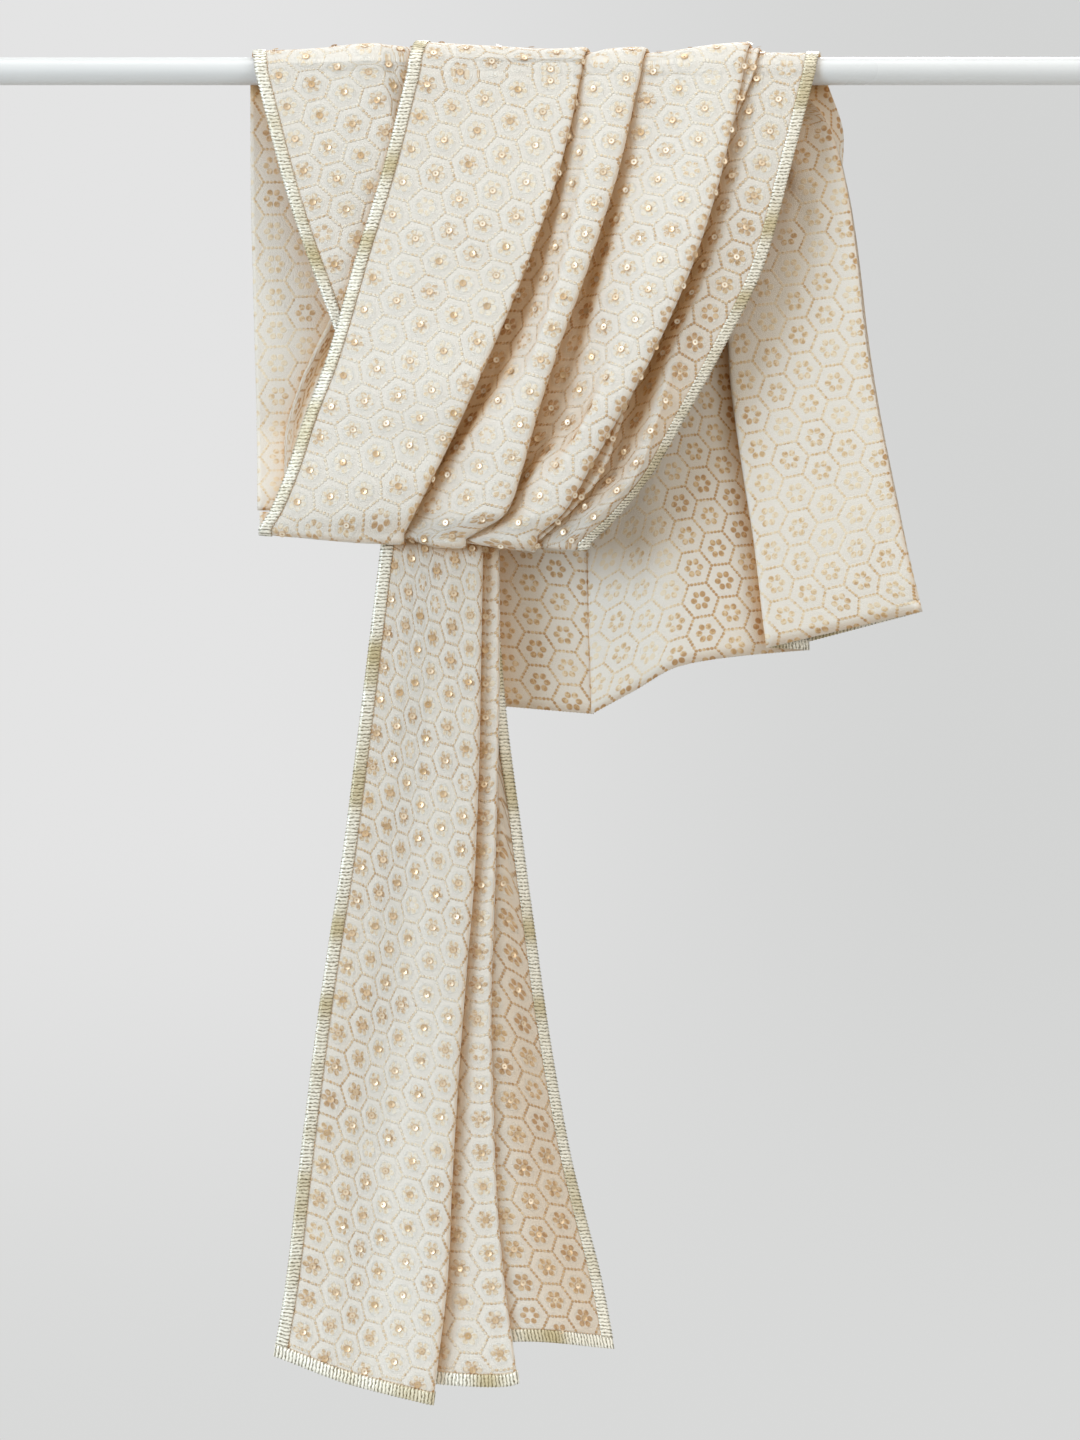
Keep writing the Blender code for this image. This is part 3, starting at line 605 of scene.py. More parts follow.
def curved(grid, counts):
    """Rows of points on smooth curves through the rows' points, with rounded folds."""
    first = 2 * grid[:, :1] - grid[:, 1:2]
    last = 2 * grid[:, -1:] - grid[:, -2:-1]
    padded = np.concatenate([first, grid, last], axis=1)
    spans = np.sqrt(np.linalg.norm(np.diff(padded, axis=1), axis=2, keepdims=True)) + 1e-6
    columns = []
    for n, count in enumerate(counts):
        p0, p1, p2, p3 = (padded[:, n + k] for k in range(4))
        before, here, after = (spans[:, n + k] for k in range(3))
        leaving = p2 - p1 + here * ((p1 - p0) / before - (p2 - p0) / (before + here))
        coming = p2 - p1 + here * ((p3 - p2) / after - (p3 - p1) / (here + after))
        for k in range(count):
            t = k / count
            columns.append(
                (2 * t**3 - 3 * t**2 + 1) * p1
                + (t**3 - 2 * t**2 + t) * leaving
                + (3 * t**2 - 2 * t**3) * p2
                + (t**3 - t**2) * coming
            )
    columns.append(grid[:, -1])
    return np.stack(columns, axis=1)


def marks_of(counts):
    """Column of the fine grid that each of the rows' points lies on."""
    return [0] + list(np.cumsum(counts))


def lengths_along(grid):
    """Length along every column of the grid from its first row."""
    steps = np.linalg.norm(np.diff(grid, axis=0), axis=2)
    return np.concatenate([np.zeros((1, grid.shape[1])), np.cumsum(steps, axis=0)])


def lengths_across(grid):
    """Length along every row of the grid from its first column."""
    return lengths_along(grid.transpose(1, 0, 2)).T


def ribbon(grid, first, last, reference, place, start, turned=0):
    """Places on the flat cloth of the columns from first to last, square to a reference column.

    place is where that column lies across the cloth, start where its first row lies along it.
    turned is how many rows from the first one on are turned under and keep the slant of the next.
    """
    tangent = np.gradient(grid[:, reference], axis=0)
    tangent /= np.linalg.norm(tangent, axis=1, keepdims=True) + 1e-9
    steps = np.diff(grid[:, first : last + 1], axis=1)
    along = (steps * tangent[:, None]).sum(axis=2)
    across = np.sqrt(np.maximum((steps**2).sum(axis=2) - along**2, 0))
    along[:turned] = along[turned]
    across[:turned] = across[turned]
    zero = np.zeros((grid.shape[0], 1))
    u = np.concatenate([zero, np.cumsum(across, axis=1)], axis=1)
    v = np.concatenate([zero, np.cumsum(along, axis=1)], axis=1)
    k = reference - first
    u = u - u[:, k : k + 1] + place
    v = v - v[:, k : k + 1] + lengths_along(grid)[:, reference : reference + 1] + start
    return u, v


def lay(uv, first, places):
    """Puts the places u and v of some columns, from the first on, into the stretch's."""
    for axis, values in enumerate(places):
        uv[:, first : first + values.shape[1], axis] = values


def bridge(grid, uv, first, last):
    """Fills in the places of hidden columns between two that are known."""
    arc = lengths_across(grid[:, first : last + 1])
    share = arc / (arc[:, -1:] + 1e-9)
    for axis in range(2):
        start = uv[:, first, axis][:, None]
        end = uv[:, last, axis][:, None]
        uv[:, first : last + 1, axis] = start + share * (end - start)


def blended(one, other, share):
    return one + (other - one) * share


# A stretch of cloth: points, their places on the flat cloth, and the columns that its sections' points lie on
Stretch = namedtuple("Stretch", "name grid uv marks")

# Numbers of the tail's points where the laying of the pattern changes: fold a's edge, valley and ridge,
# fold b's edge and ridge, and the right border's lace and edge
EDGE_A, VALLEY_A, RIDGE_A, EDGE_B, RIDGE_B, RIGHT_TRIM, RIGHT_BORDER = 4, 6, 8, 10, 14, 15, 16

# Drops between which the tail's pattern turns from square to the border to square to the hem
TAIL_TURNS = (215, 375)

# How the tail's left panel bunches: share of its width that shows, and place on the flat cloth
BUNCH_SHARES = (0.0, 0.156, 0.318, 0.440, 0.565, 0.740, 1.0)
BUNCH_PLACES = (0.0, 17.8, 41.4, 65.0, 88.6, 112.2, TAIL_EDGE_A)


def make_tail():
    rows = as_grid(tail_rows())
    counts = segment_counts(rows)
    grid = curved(rows, counts)
    m = marks_of(counts)
    uv = np.zeros(grid.shape[:2] + (2,))
    along = lengths_along(grid)
    drops = -grid[:, :, 2]

    # Under the swag, the pattern changes from square to the hem to square to the left border
    gathered = np.arange(grid.shape[0])[:, None] > np.argmax(drops[:, 0] < WAIST_DROP)
    upper = np.where(gathered, 1 - eased(drops, *TAIL_TURNS), 0)
    left = slice(0, m[EDGE_A] + 1)
    arc = lengths_across(grid[:, left])
    u_hem = np.interp(arc / arc[:, -1:], BUNCH_SHARES, BUNCH_PLACES)
    u_top, v_top = ribbon(grid, 0, m[EDGE_A], 0, 0, 0)
    turned = upper[:, left]
    lay(uv, 0, (blended(u_hem, u_top, turned), blended(along[:, left], v_top, turned)))
    for start, end, place in ((RIDGE_A, EDGE_B, TAIL_EDGE_B), (RIDGE_B, RIGHT_BORDER, CLOTH_WIDTH)):
        u, _ = ribbon(grid, m[start], m[end], m[end], place, 0)
        lay(uv, m[start], (u, along[:, m[start] : m[end] + 1]))
    bridge(grid, uv, m[EDGE_A], m[RIDGE_A])
    bridge(grid, uv, m[EDGE_B], m[RIDGE_B])
    return Stretch("tail_front", grid, uv, m)


# The loop's hidden cloth lies in upright gathers: how many, how deep, which share of it stays flat
# beside the fold that shows, and between which drops they come and go
GATHERS = 9
GATHER_DEPTH = 17.0
GATHER_CLEAR = 0.30
GATHER_COMES = (30, 90)
GATHER_GOES = (285, 330)

# Drops between which the loop's pattern turns from the seam's to square to the left border
LOOP_TURNS = (SEAM_DROP, 60)


def make_loop(tail):
    rows = as_grid(loop_rows())
    grid = curved(rows, np.diff(tail.marks))
    m = tail.marks
    hidden = slice(m[VALLEY_A], m[RIGHT_TRIM] + 1)
    share = np.linspace(0, 1, m[RIGHT_TRIM] + 1 - m[VALLEY_A])
    drops = -grid[:, hidden, 2]
    deep = eased(drops, *GATHER_COMES) * (1 - eased(drops, *GATHER_GOES))
    deep = deep * eased(share, GATHER_CLEAR / 2, GATHER_CLEAR)[None, :]
    grid[:, hidden, 1] -= GATHER_DEPTH * deep * (0.5 - 0.5 * np.cos(2 * math.pi * GATHERS * share))
    uv = np.zeros(grid.shape[:2] + (2,))
    seam = tail.uv[-1]
    uv[:, :, 0] = seam[None, :, 0]
    uv[:, :, 1] = seam[None, :, 1] + lengths_along(grid)
    left = slice(0, m[EDGE_A] + 1)
    square = np.stack(ribbon(grid, 0, m[EDGE_A], 0, 0, seam[0, 1]), axis=2)
    uv[:, left] = blended(uv[:, left], square, eased(-grid[:, left, 2], *LOOP_TURNS)[:, :, None])
    return Stretch("loop_back", grid, uv, m)


# Rows of the swag that keep one slant: two of the lip, the curl's, and those just above them
CURL_ROWS = 2 + CURL_STEPS + 1
TURNED_ROWS = CURL_ROWS + 11

# Beside each fold, the cloth stays deep for this share of its way to the next ridge, and between which
# drops that comes and goes
HOLLOW_SHARE = 0.55
HOLLOW_COMES = (8, 70)
HOLLOW_GOES = (320, 358)


def hollowed(grid, marks):
    """The swag with the cloth beside each fold held deep, and then rising to its ridge."""
    grid = grid.copy()
    for k in range(len(SWAG_FOLDS)):
        root = POINTS_PER_FOLD * (k + 1)
        first, last = marks[root], marks[root + 1]
        part = grid[:, first : last + 1]
        arc = lengths_across(part)
        share = arc / (arc[:, -1:] + 1e-9)
        drops = -part[:, :, 2]
        held = eased(drops, *HOLLOW_COMES) * (1 - eased(drops, *HOLLOW_GOES))
        held[:CURL_ROWS] = 0
        rise = part[:, -1:, 1] - part[:, :1, 1]
        deep = part[:, :1, 1] + rise * eased(share, HOLLOW_SHARE, 1.0)
        part[:, :, 1] = blended(part[:, :, 1], np.maximum(deep, part[:, :, 1]), held)
    return grid


# The swag's panels that show: numbers of their first and last points and of the one that the pattern runs
# square to, and where that one lies across the flat cloth
Panel = namedtuple("Panel", "first last reference place")
SWAG_PANELS = (
    Panel(0, 3, 0, 0),
    Panel(7, 9, 9, SWAG_EDGE_B),
    Panel(13, 15, 15, SWAG_EDGE_C),
    Panel(19, 21, 21, SWAG_EDGE_D),
    Panel(25, 29, 29, CLOTH_WIDTH),
)


def make_swag(loop):
    rows = as_grid(swag_rows())
    counts = segment_counts(rows)
    m = marks_of(counts)
    grid = hollowed(curved(rows, counts), m)
    uv = np.zeros(grid.shape[:2] + (2,))
    start = loop.uv[-1, 0, 1]
    for first, last, reference, place in SWAG_PANELS:
        lay(uv, m[first], ribbon(grid, m[first], m[last], m[reference], place, start, TURNED_ROWS))
    for before, after in zip(SWAG_PANELS, SWAG_PANELS[1:]):
        bridge(grid, uv, m[before.last], m[after.first])
    return Stretch("swag_front", grid, uv, m)


# Between which drops the back end's pattern turns from the seam's to the whole hem's, and the outer panel's
# to square to its folded edge and back. Room, in mm, that the last level leaves above the hem's lace
BACK_TURNS = (40, FLAT_DROP)
OUTER_TURNS = (SEAM_DROP, 40)
OUTER_TURNS_BACK = (330, 430)
HEM_ROOM = (0.5, 4.0)


def make_back(swag):
    rows = as_grid(back_rows())
    grid = curved(rows, np.diff(swag.marks))

    # Where the last level comes too near the hem's lace, its row moves up between its neighbours
    room = eased(grid[-3, :, 2] - grid[-2, :, 2], *HEM_ROOM)[:, None]
    grid[-3] = blended(blended(grid[-2], grid[-4], 0.5), grid[-3], room)
    seam = swag.uv[-1]
    along = lengths_along(grid)
    arc = lengths_across(grid)
    flat = eased(-grid[:, :, 2], *BACK_TURNS)
    hem = np.mean(seam[:, 1] + along[-1])
    uv = np.zeros(grid.shape[:2] + (2,))
    uv[:, :, 0] = blended(seam[None, :, 0], CLOTH_WIDTH * arc / arc[:, -1:], flat)
    uv[:, :, 1] = blended(seam[None, :, 1] + along, hem - (along[-1:] - along), flat)

    # On the outer panel, which shows up to the rail, the pattern runs square to its folded edge
    first, last = swag.marks[OUTER_PANEL], swag.marks[OUTER_FOLD]
    panel = slice(first, last + 1)
    u, v = ribbon(grid, first, last, last, uv[-1, last, 0], 0)
    v += uv[-1, last, 1] - v[-1, -1]
    drops = -grid[:, panel, 2]
    square = eased(drops, *OUTER_TURNS) * (1 - eased(drops, *OUTER_TURNS_BACK))
    uv[:, panel] = blended(uv[:, panel], np.stack([u, v], axis=2), square[:, :, None])
    return Stretch("back_end", grid, uv, swag.marks)


# Soft unevenness of the hanging cloth: size of a wave across and along, and its height, in mm
Wave = namedtuple("Wave", "across along height seed")
WAVES = (Wave(95, 150, 1.6, 3.1), Wave(38, 70, 0.7, 8.7), Wave(14, 22, 0.16, 5.3))

# Drops between which that unevenness comes in below the rail
RUMPLE_COMES = (15, 70)


def normals_of(grid):
    over = np.gradient(grid, axis=1)
    up = np.gradient(grid, axis=0)
    normal = np.cross(over, up)
    return normal / (np.linalg.norm(normal, axis=2, keepdims=True) + 1e-12)


def rumpled(stretch):
    """The stretch with its soft unevenness, none of it where the cloth lies on the rail."""
    grid = stretch.grid.copy()
    normal = normals_of(grid)
    free = eased(-grid[:, :, 2], *RUMPLE_COMES)
    lift = np.zeros(grid.shape[:2])
    for wave in WAVES:
        for r in range(grid.shape[0]):
            for c in range(grid.shape[1]):
                u, v = stretch.uv[r, c]
                spot = Vector((u / wave.across, v / wave.along, wave.seed))
                lift[r, c] += wave.height * noise.noise(spot)
    return stretch._replace(grid=grid + normal * (lift * free)[:, :, None])


def grid_mesh(name, grid, uv):
    """A mesh of quads through the grid, with its places on the flat cloth as a UV map in metres."""
    rows, columns = grid.shape[:2]
    number = np.arange(rows * columns).reshape(rows, columns)
    quads = np.stack([number[:-1, :-1], number[:-1, 1:], number[1:, 1:], number[1:, :-1]], axis=2)
    quads = quads.reshape(-1, 4)
    mesh = bpy.data.meshes.new(name)
    mesh.from_pydata((grid.reshape(-1, 3) * MM).tolist(), [], quads.tolist())
    layer = mesh.uv_layers.new(name="flat_cloth")
    layer.data.foreach_set("uv", (uv.reshape(-1, 2)[quads.ravel()] * MM).ravel())
    mesh.shade_smooth()
    return mesh


def add_object(name, mesh, materials):
    for material in materials:
        mesh.materials.append(material)
    obj = bpy.data.objects.new(name, mesh)
    bpy.context.scene.collection.objects.link(obj)
    return obj


def thicken(obj, wall, second_material=0):
    shell = obj.modifiers.new("wall", "SOLIDIFY")
    shell.thickness = wall * MM
    shell.offset = 0.0
    shell.material_offset = second_material


class Wire:
    """A node's output. Arithmetic with it adds the nodes that work it out."""

    def __init__(self, nodes, socket):
        self.nodes, self.socket = nodes, socket

    def __add__(self, other):
        return self.nodes.math("ADD", self, other)

    def __sub__(self, other):
        return self.nodes.math("SUBTRACT", self, other)

    def __rsub__(self, other):
        return self.nodes.math("SUBTRACT", other, self)

    def __mul__(self, other):
        return self.nodes.math("MULTIPLY", self, other)

    def __truediv__(self, other):
        return self.nodes.math("DIVIDE", self, other)

    def __abs__(self):
        return self.nodes.math("ABSOLUTE", self)

    def __round__(self):
        return self.nodes.math("ROUND", self)


class Nodes:
    """Writes a node tree: numbers, colours and wires go in, wires come out."""

    def __init__(self, tree):
        self.tree = tree

    def put(self, socket, value):
        if isinstance(value, Wire):
            self.tree.links.new(value.socket, socket)
        elif socket.type == "RGBA":
            socket.default_value = (*value, 1.0)
        else:
            socket.default_value = value

    def node(self, kind, inputs=None, output=0, **settings):
        """One output of a new node. Its inputs and the output go by number or name."""
        node = self.tree.nodes.new(kind)
        for key, value in settings.items():
            setattr(node, key, value)
        for key, value in (inputs or {}).items():
            self.put(node.inputs[key], value)
        return Wire(self, node.outputs[output])

    def math(self, operation, a, b=0.0, clamp=False):
        return self.node("ShaderNodeMath", {0: a, 1: b}, operation=operation, use_clamp=clamp)

    def length(self, one, other):
        """Length of a flat arrow from its two parts."""
        return self.math("SQRT", one * one + other * other)

    def step(self, value, low, high, start=0.0, end=1.0):
        """Smooth change from start to end as the value goes from low to high."""
        inputs = {0: value, 1: low, 2: high, 3: start, 4: end}
        return self.node("ShaderNodeMapRange", inputs, interpolation_type="SMOOTHSTEP")

    def mix(self, share, one, other, blend="MIX"):
        """Colour on the way from one to the other."""
        inputs = {0: share, 6: one, 7: other}
        return self.node("ShaderNodeMix", inputs, 2, data_type="RGBA", blend_type=blend)

    def noise(self, vector, scale, detail=2.0):
        return self.node("ShaderNodeTexNoise", {"Vector": vector, "Scale": scale, "Detail": detail}, "Fac")

    def chance(self, x, y, z=0.0):
        """A random number from 0 to 1 that is the same wherever these three are."""
        inputs = {"Vector": self.vector(x, y, z)}
        return self.node("ShaderNodeTexWhiteNoise", inputs, "Value", noise_dimensions="3D")

    def vector(self, x, y, z=0.0):
        return self.node("ShaderNodeCombineXYZ", {0: x, 1: y, 2: z})

    def split(self, vector):
        """The three numbers of a vector."""
        first = self.node("ShaderNodeSeparateXYZ", {0: vector})
        return [Wire(self, socket) for socket in first.socket.node.outputs]


class Shader(Nodes):
    """The nodes of a new material, and its surface."""

    def __init__(self, name):
        self.material = bpy.data.materials.new(name)
        self.material.use_nodes = True
        super().__init__(self.material.node_tree)
        self.surface = self.tree.nodes["Principled BSDF"]

    def flat_place(self):
        """Place on the flat cloth, across and along, in mm."""
        across, along, _ = self.split(self.node("ShaderNodeUVMap", uv_map="flat_cloth"))
        return across / MM, along / MM

    def set(self, **values):
        for key, value in values.items():
            self.put(self.surface.inputs[key.replace("_", " ").title()], value)

    def bump(self, height, distance, strength=1.0):
        inputs = {"Strength": strength, "Distance": distance, "Height": height}
        self.set(normal=self.node("ShaderNodeBump", inputs))


# The honeycomb's cell in the shader's own unit, mm: half its height, its side, and the width of two columns
HALF_CELL = HEX_ALONG / 2
SIDE = HEX_ALONG / math.sqrt(3)
TWO_COLUMNS = 3 * SIDE

# The real columns stand this much further apart than a regular honeycomb's
SQUEEZE = TWO_COLUMNS / (2 * HEX_ACROSS)

Honeycomb = namedtuple("Honeycomb", "u v across along cell_u cell_v")


def honeycomb(shader):
    """Place within the nearest cell of the woven honeycomb, in mm, and that cell's own numbers."""
    flat_across, v = shader.flat_place()
    u = (flat_across - FIRST_COLUMN) * SQUEEZE
    near = []
    for shift_u, shift_v, half in ((0, 0, 0), (TWO_COLUMNS / 2, HALF_CELL, 0.5)):
        column = round((u - shift_u) / TWO_COLUMNS)
        row = round((v - shift_v) / HEX_ALONG)
        across = u - shift_u - column * TWO_COLUMNS
        along = v - shift_v - row * HEX_ALONG
        near.append((across, along, column + half, row + half))
    distances = [across * across + along * along for across, along, _, _ in near]
    second = shader.math("LESS_THAN", distances[1], distances[0])
    return Honeycomb(u, v, *(one + (other - one) * second for one, other in zip(*near)))


# The stitched line: stitches on a cell's side, how slim they are, and how soft their edge and a petal's,
# as shares of their size
STITCHES = 5
STITCH_SLIMNESS = 0.85
STITCH_EDGE = (0.65, 1.25)
PETAL_EDGE = (0.75, 1.2)


def dotted_line(shader, cell, radius):
    """Mask of the chain of stitches along the cell's sides, and the distance inside them."""
    across, along = abs(cell.across), abs(cell.along)
    cosine, sine = math.cos(math.radians(30)), math.sin(math.radians(30))
    slant = across * cosine + along * sine
    turned = along * cosine - across * sine
    on_slant = shader.math("GREATER_THAN", slant, along)
    inside = HALF_CELL - shader.math("MAXIMUM", slant, along)
    place = cell.across + (turned - cell.across) * on_slant
    offset = shader.math("PINGPONG", place + SIDE / 2, SIDE / STITCHES / 2)
    away = shader.length(inside, offset * STITCH_SLIMNESS)
    return shader.step(away, radius * STITCH_EDGE[0], radius * STITCH_EDGE[1], 1.0, 0.0), inside


def petals(shader, cell, side):
    """Mask of the flower's six petals, the petal's number, and the distance from the flower's middle."""
    angle = shader.math("ARCTAN2", cell.along, cell.across)
    sector = round(angle / (math.pi / 3))
    turned = angle - sector * (math.pi / 3)
    radius = shader.length(cell.across, cell.along)
    out = (radius * shader.math("COSINE", turned) - side.reach) / side.length
    aside = radius * shader.math("SINE", turned) / side.width
    return shader.step(shader.length(out, aside), *PETAL_EDGE, 1.0, 0.0), sector, radius


# The two sides of the cloth. stitch, reach, length, width: a stitch's radius, how far out a petal's middle
# lies, and half its length and width, in mm. shine: how squarely threads face the light where
# their painted highlight starts and where it is full. pale: the sum of painted highlight and own tone that
# turns gold to pale. gaps: share of the threads that ivory loops cover, added where they face the light as
# painted highlight, and in shade. weave, puff, line, petal: heights, in mm
ClothSide = namedtuple("ClothSide", "stitch reach length width shine pale gaps weave puff line petal")
FACE = ClothSide(
    stitch=1.25, reach=5.2, length=2.5, width=2.3,
    shine=(0.50, 0.86), pale=0.3, gaps=(0.55, 0.15), weave=1.0, puff=0.4, line=0.6, petal=0.3,
)
WRONG_SIDE = ClothSide(
    stitch=1.3, reach=5.4, length=2.6, width=2.4,
    shine=(0.58, 0.76), pale=0.25, gaps=(0.25, 0.0), weave=0.7, puff=0.25, line=0.2, petal=0.2,
)

# Colours of the ground, of the threads from tan in painted shade to pale in painted highlight, and of the
# painted warm shade deep in the folds and on cloth turned from the light
IVORY = (0.735, 0.703, 0.64)
CREAM = (0.80, 0.79, 0.73)
TAN = (0.47, 0.28, 0.115)
GOLD = (0.63, 0.45, 0.235)
PALE = (0.76, 0.66, 0.48)
WARM_SHADE = (1.0, 0.68, 0.36)

# How far off, in metres, cloth shades a hollow, and how open to the sky the deepest and the free cloth is
HOLLOW_REACH = 0.06
HOLLOW_OPENNESS = (0.30, 0.92)

# Where the painted highlight and shade on the threads and the cloth come from, as seen from the cloth
PAINTED_LIGHT_FROM = (-0.62, -0.72, 0.30)

# On the face the threads get less painted highlight near the front hem, and towards the right border, where
# that is painted shade: between which places along and across the flat cloth that changes, in mm, and how
# much painted highlight it costs
LESS_HIGHLIGHT_ALONG = (720.0, 980.0)
LESS_HIGHLIGHT_ACROSS = tuple((place - FIRST_COLUMN) * SQUEEZE for place in (150.0, 240.0))
LESS_HIGHLIGHT_NEAR_HEM = 0.20
PAINTED_SHADE_NEAR_RIGHT = 0.15

# The ring inside the petals with loose ivory loops: inner edge, middle and outer edge, in mm
RING = (6.2, 7.6, 10.2)
RING_HEIGHT = 0.6


# What a thread's painted highlight and own tone gain: the highlight by facing the light, the tone by its
# petal's, its flower's and its patch's own share; what they lose at any place, and between which of their
# sums tan threads turn to gold
HIGHLIGHT_BY_FACING = 0.65
TONE_BY_PETAL = 0.25
TONE_BY_FLOWER = 0.6
TONE_BY_PATCH = (-0.2, 0.35)
HIGHLIGHT_AND_TONE_OFFSET = 0.3
TAN_TO_GOLD = (-0.1, 0.5)


def thread_colour(shader, cell, sector, facing, patchy, side):
    """Colour of the threads: tan in painted shade, then gold, then pale in painted highlight, each flower and
    petal its own tone too.
    """
    own = shader.chance(cell.cell_u, cell.cell_v)
    petal = shader.chance(cell.cell_u, cell.cell_v, sector)
    highlight_and_tone = facing * HIGHLIGHT_BY_FACING + petal * TONE_BY_PETAL + own * TONE_BY_FLOWER - HIGHLIGHT_AND_TONE_OFFSET
    highlight_and_tone = highlight_and_tone + shader.step(patchy, 0.38, 0.62, *TONE_BY_PATCH)
    threads = shader.mix(shader.step(highlight_and_tone, *TAN_TO_GOLD), TAN, GOLD)
    return shader.mix(shader.step(highlight_and_tone, side.pale, 1.0), threads, PALE)


def cloth_material(name, side):
    """Ivory weave with a honeycomb of stitched lines and six-petal flowers, raised on the face."""
    shader = Shader(name)
    cell = honeycomb(shader)
    spot = shader.vector(cell.u, cell.v)
    patchy = shader.noise(spot, 0.30)
    fine = shader.noise(spot, 1.3)
    grain = shader.step(fine, 0.45, 0.6)
    line, inside = dotted_line(shader, cell, side.stitch)
    flower, sector, radius = petals(shader, cell, side)
    thread = shader.math("MAXIMUM", line, flower)

    # Painted warm shade deep in the folds, standing for light that has bounced between layers of gold thread
    # and ivory
    hollow = shader.node("ShaderNodeAmbientOcclusion", {"Distance": HOLLOW_REACH}, "AO", samples=6)
    deep = shader.step(hollow, *HOLLOW_OPENNESS, 1.0, 0.0)

    # Painted highlight and shade on the threads: those that face the light are painted pale and broken up,
    # those turned from it dark tan
    arrows = {0: shader.node("ShaderNodeNewGeometry", output="Normal"), 1: PAINTED_LIGHT_FROM}
    turned = shader.node("ShaderNodeVectorMath", arrows, "Value", operation="DOT_PRODUCT")
    facing = shader.step(turned, *side.shine)
    # Cloth turned from the light gets painted warm shade, fading out where it is turned right away
    away = shader.step(turned, 0.25, 0.70, 0.3, 0.0) * shader.step(turned, -0.1, 0.25)
    if side is FACE:
        # Less painted highlight near the front hem, and towards the right border as painted shade
        near_hem = shader.step(cell.v, *LESS_HIGHLIGHT_ALONG, LESS_HIGHLIGHT_NEAR_HEM, 0.0)
        near_right = shader.step(cell.u, *LESS_HIGHLIGHT_ACROSS, 0.0, PAINTED_SHADE_NEAR_RIGHT)
        less_highlight = shader.math("MAXIMUM", near_hem, near_right)
        facing = shader.math("SUBTRACT", facing, less_highlight, clamp=True)
    else:
        # On the wrong side, threads on cloth turned right away from the light get a painted highlight too
        facing = shader.math("MAXIMUM", facing, shader.step(turned, -0.3, 0.1, 0.4, 0.0))
    # In the painted shade deep in the folds, threads lose their painted highlight and turn dark tan
    facing = shader.math("SUBTRACT", facing, deep * 0.9, clamp=True)
    threads = thread_colour(shader, cell, sector, facing, patchy, side)

    # Ivory loops lie over some of the tan threads, more of them where the threads face the light as painted
    # highlight, and on the face in a ring inside the petals too
    ring = shader.step(radius, RING[0], RING[1]) * shader.step(radius, RING[2], RING[1])
    gaps = facing * side.gaps[0] + side.gaps[1]
    cover = shader.math("MAXIMUM", shader.step(patchy, 0.40, 0.58), grain) * gaps
    shown = thread * (1.0 - cover)
    ground = IVORY
    if side is FACE:
        ground = shader.mix(ring * grain, IVORY, CREAM)
        ground = shader.mix(thread * 0.7, ground, CREAM)
    colour = shader.mix(shown * 0.95, ground, threads)
    # Painted warm shade: the colour is multiplied by WARM_SHADE deep in the folds and on cloth turned from
    # the light
    colour = shader.mix(shader.math("MAXIMUM", deep, away), colour, WARM_SHADE, "MULTIPLY")

    # Each cell is puffed, and stitches stand up from the weave
    height = fine * side.weave + shader.step(inside, 0.0, 4.5) * side.puff
    height = height + line * side.line + flower * side.petal
    if side is FACE:
        height = height + ring * fine * RING_HEIGHT
    shader.bump(height, MM)
    shader.set(base_color=colour, roughness=0.6, metallic=shown * 0.25)
    shader.set(sheen_weight=0.1, sheen_roughness=0.5)
    return shader.material


# The lace's colours in its gaps, painted dark as shade, and on its ribs, painted bright as glints, where it
# is silvery and where it is olive
LACE_SILVER = ((0.13, 0.115, 0.065), (0.92, 0.90, 0.80))
LACE_OLIVE = ((0.15, 0.12, 0.05), (0.58, 0.50, 0.30))

# The lace's ribs: how far apart, how high, and how far its edges' loops stand out, in mm
RIB_SPACING = 2.9
RIB_HEIGHT = 0.42
PICOT = 0.45


def lace_material():
    """Ribbed metallic lace: silver-gold ribs with painted glints and painted shade in the gaps, duller and
    greener in places.
    """
    shader = Shader("champagne_lace")
    across, along = shader.flat_place()
    fibres = shader.noise(shader.vector(across * 0.3, along), 1.7, 3.0)
    wide = shader.noise(shader.vector(0.0, along), 0.014)
    wander = shader.noise(shader.vector(across, along), 0.25, 1.0) * 5.0
    wave = shader.math("SINE", along * (2 * math.pi / RIB_SPACING) + wander)
    # Painted glints on the ribs and painted shade in the gaps between them
    painted_rib_glint = shader.step(wave * 0.55 + fibres * 3.0, 0.60, 1.7)
    silver = shader.mix(painted_rib_glint, *LACE_SILVER)
    olive = shader.mix(painted_rib_glint, *LACE_OLIVE)
    tone = shader.mix(shader.step(wide, 0.45, 0.65), silver, olive)
    shader.bump(wave * 0.35 + fibres, 0.5 * MM, 0.8)
    shader.set(base_color=tone, metallic=shader.step(painted_rib_glint, 0.0, 1.0, 0.9, 0.25), roughness=0.34)
    return shader.material


def sequin_material():
    """Clear gilt sequins whose tone differs at random, from pale ones, a painted reflection that makes them
    look white, to brown-gold ones.
    """
    shader = Shader("gold_sequin")
    tone = shader.node("ShaderNodeAttribute", output="Fac", attribute_name="tone")
    colour = shader.mix(tone, (0.93, 0.88, 0.76), (0.60, 0.41, 0.21))
    shader.set(base_color=colour, metallic=shader.step(tone, 0.1, 0.9, 0.2, 0.6), roughness=0.36)
    return shader.material


def rail_material():
    """White paint with a faint orange-peel and a slightly uneven gloss."""
    shader = Shader("white_rail")
    spot = shader.node("ShaderNodeTexCoord", output="Object")
    peel = shader.noise(spot, 260.0)
    worn = shader.noise(spot, 9.0, 3.0)
    colour = shader.mix(worn, (0.63, 0.65, 0.655), (0.67, 0.685, 0.69))
    shader.set(base_color=colour, roughness=shader.step(worn, 0.3, 0.7, 0.26, 0.36))
    shader.bump(peel, 0.05 * MM, 0.4)
    return shader.material


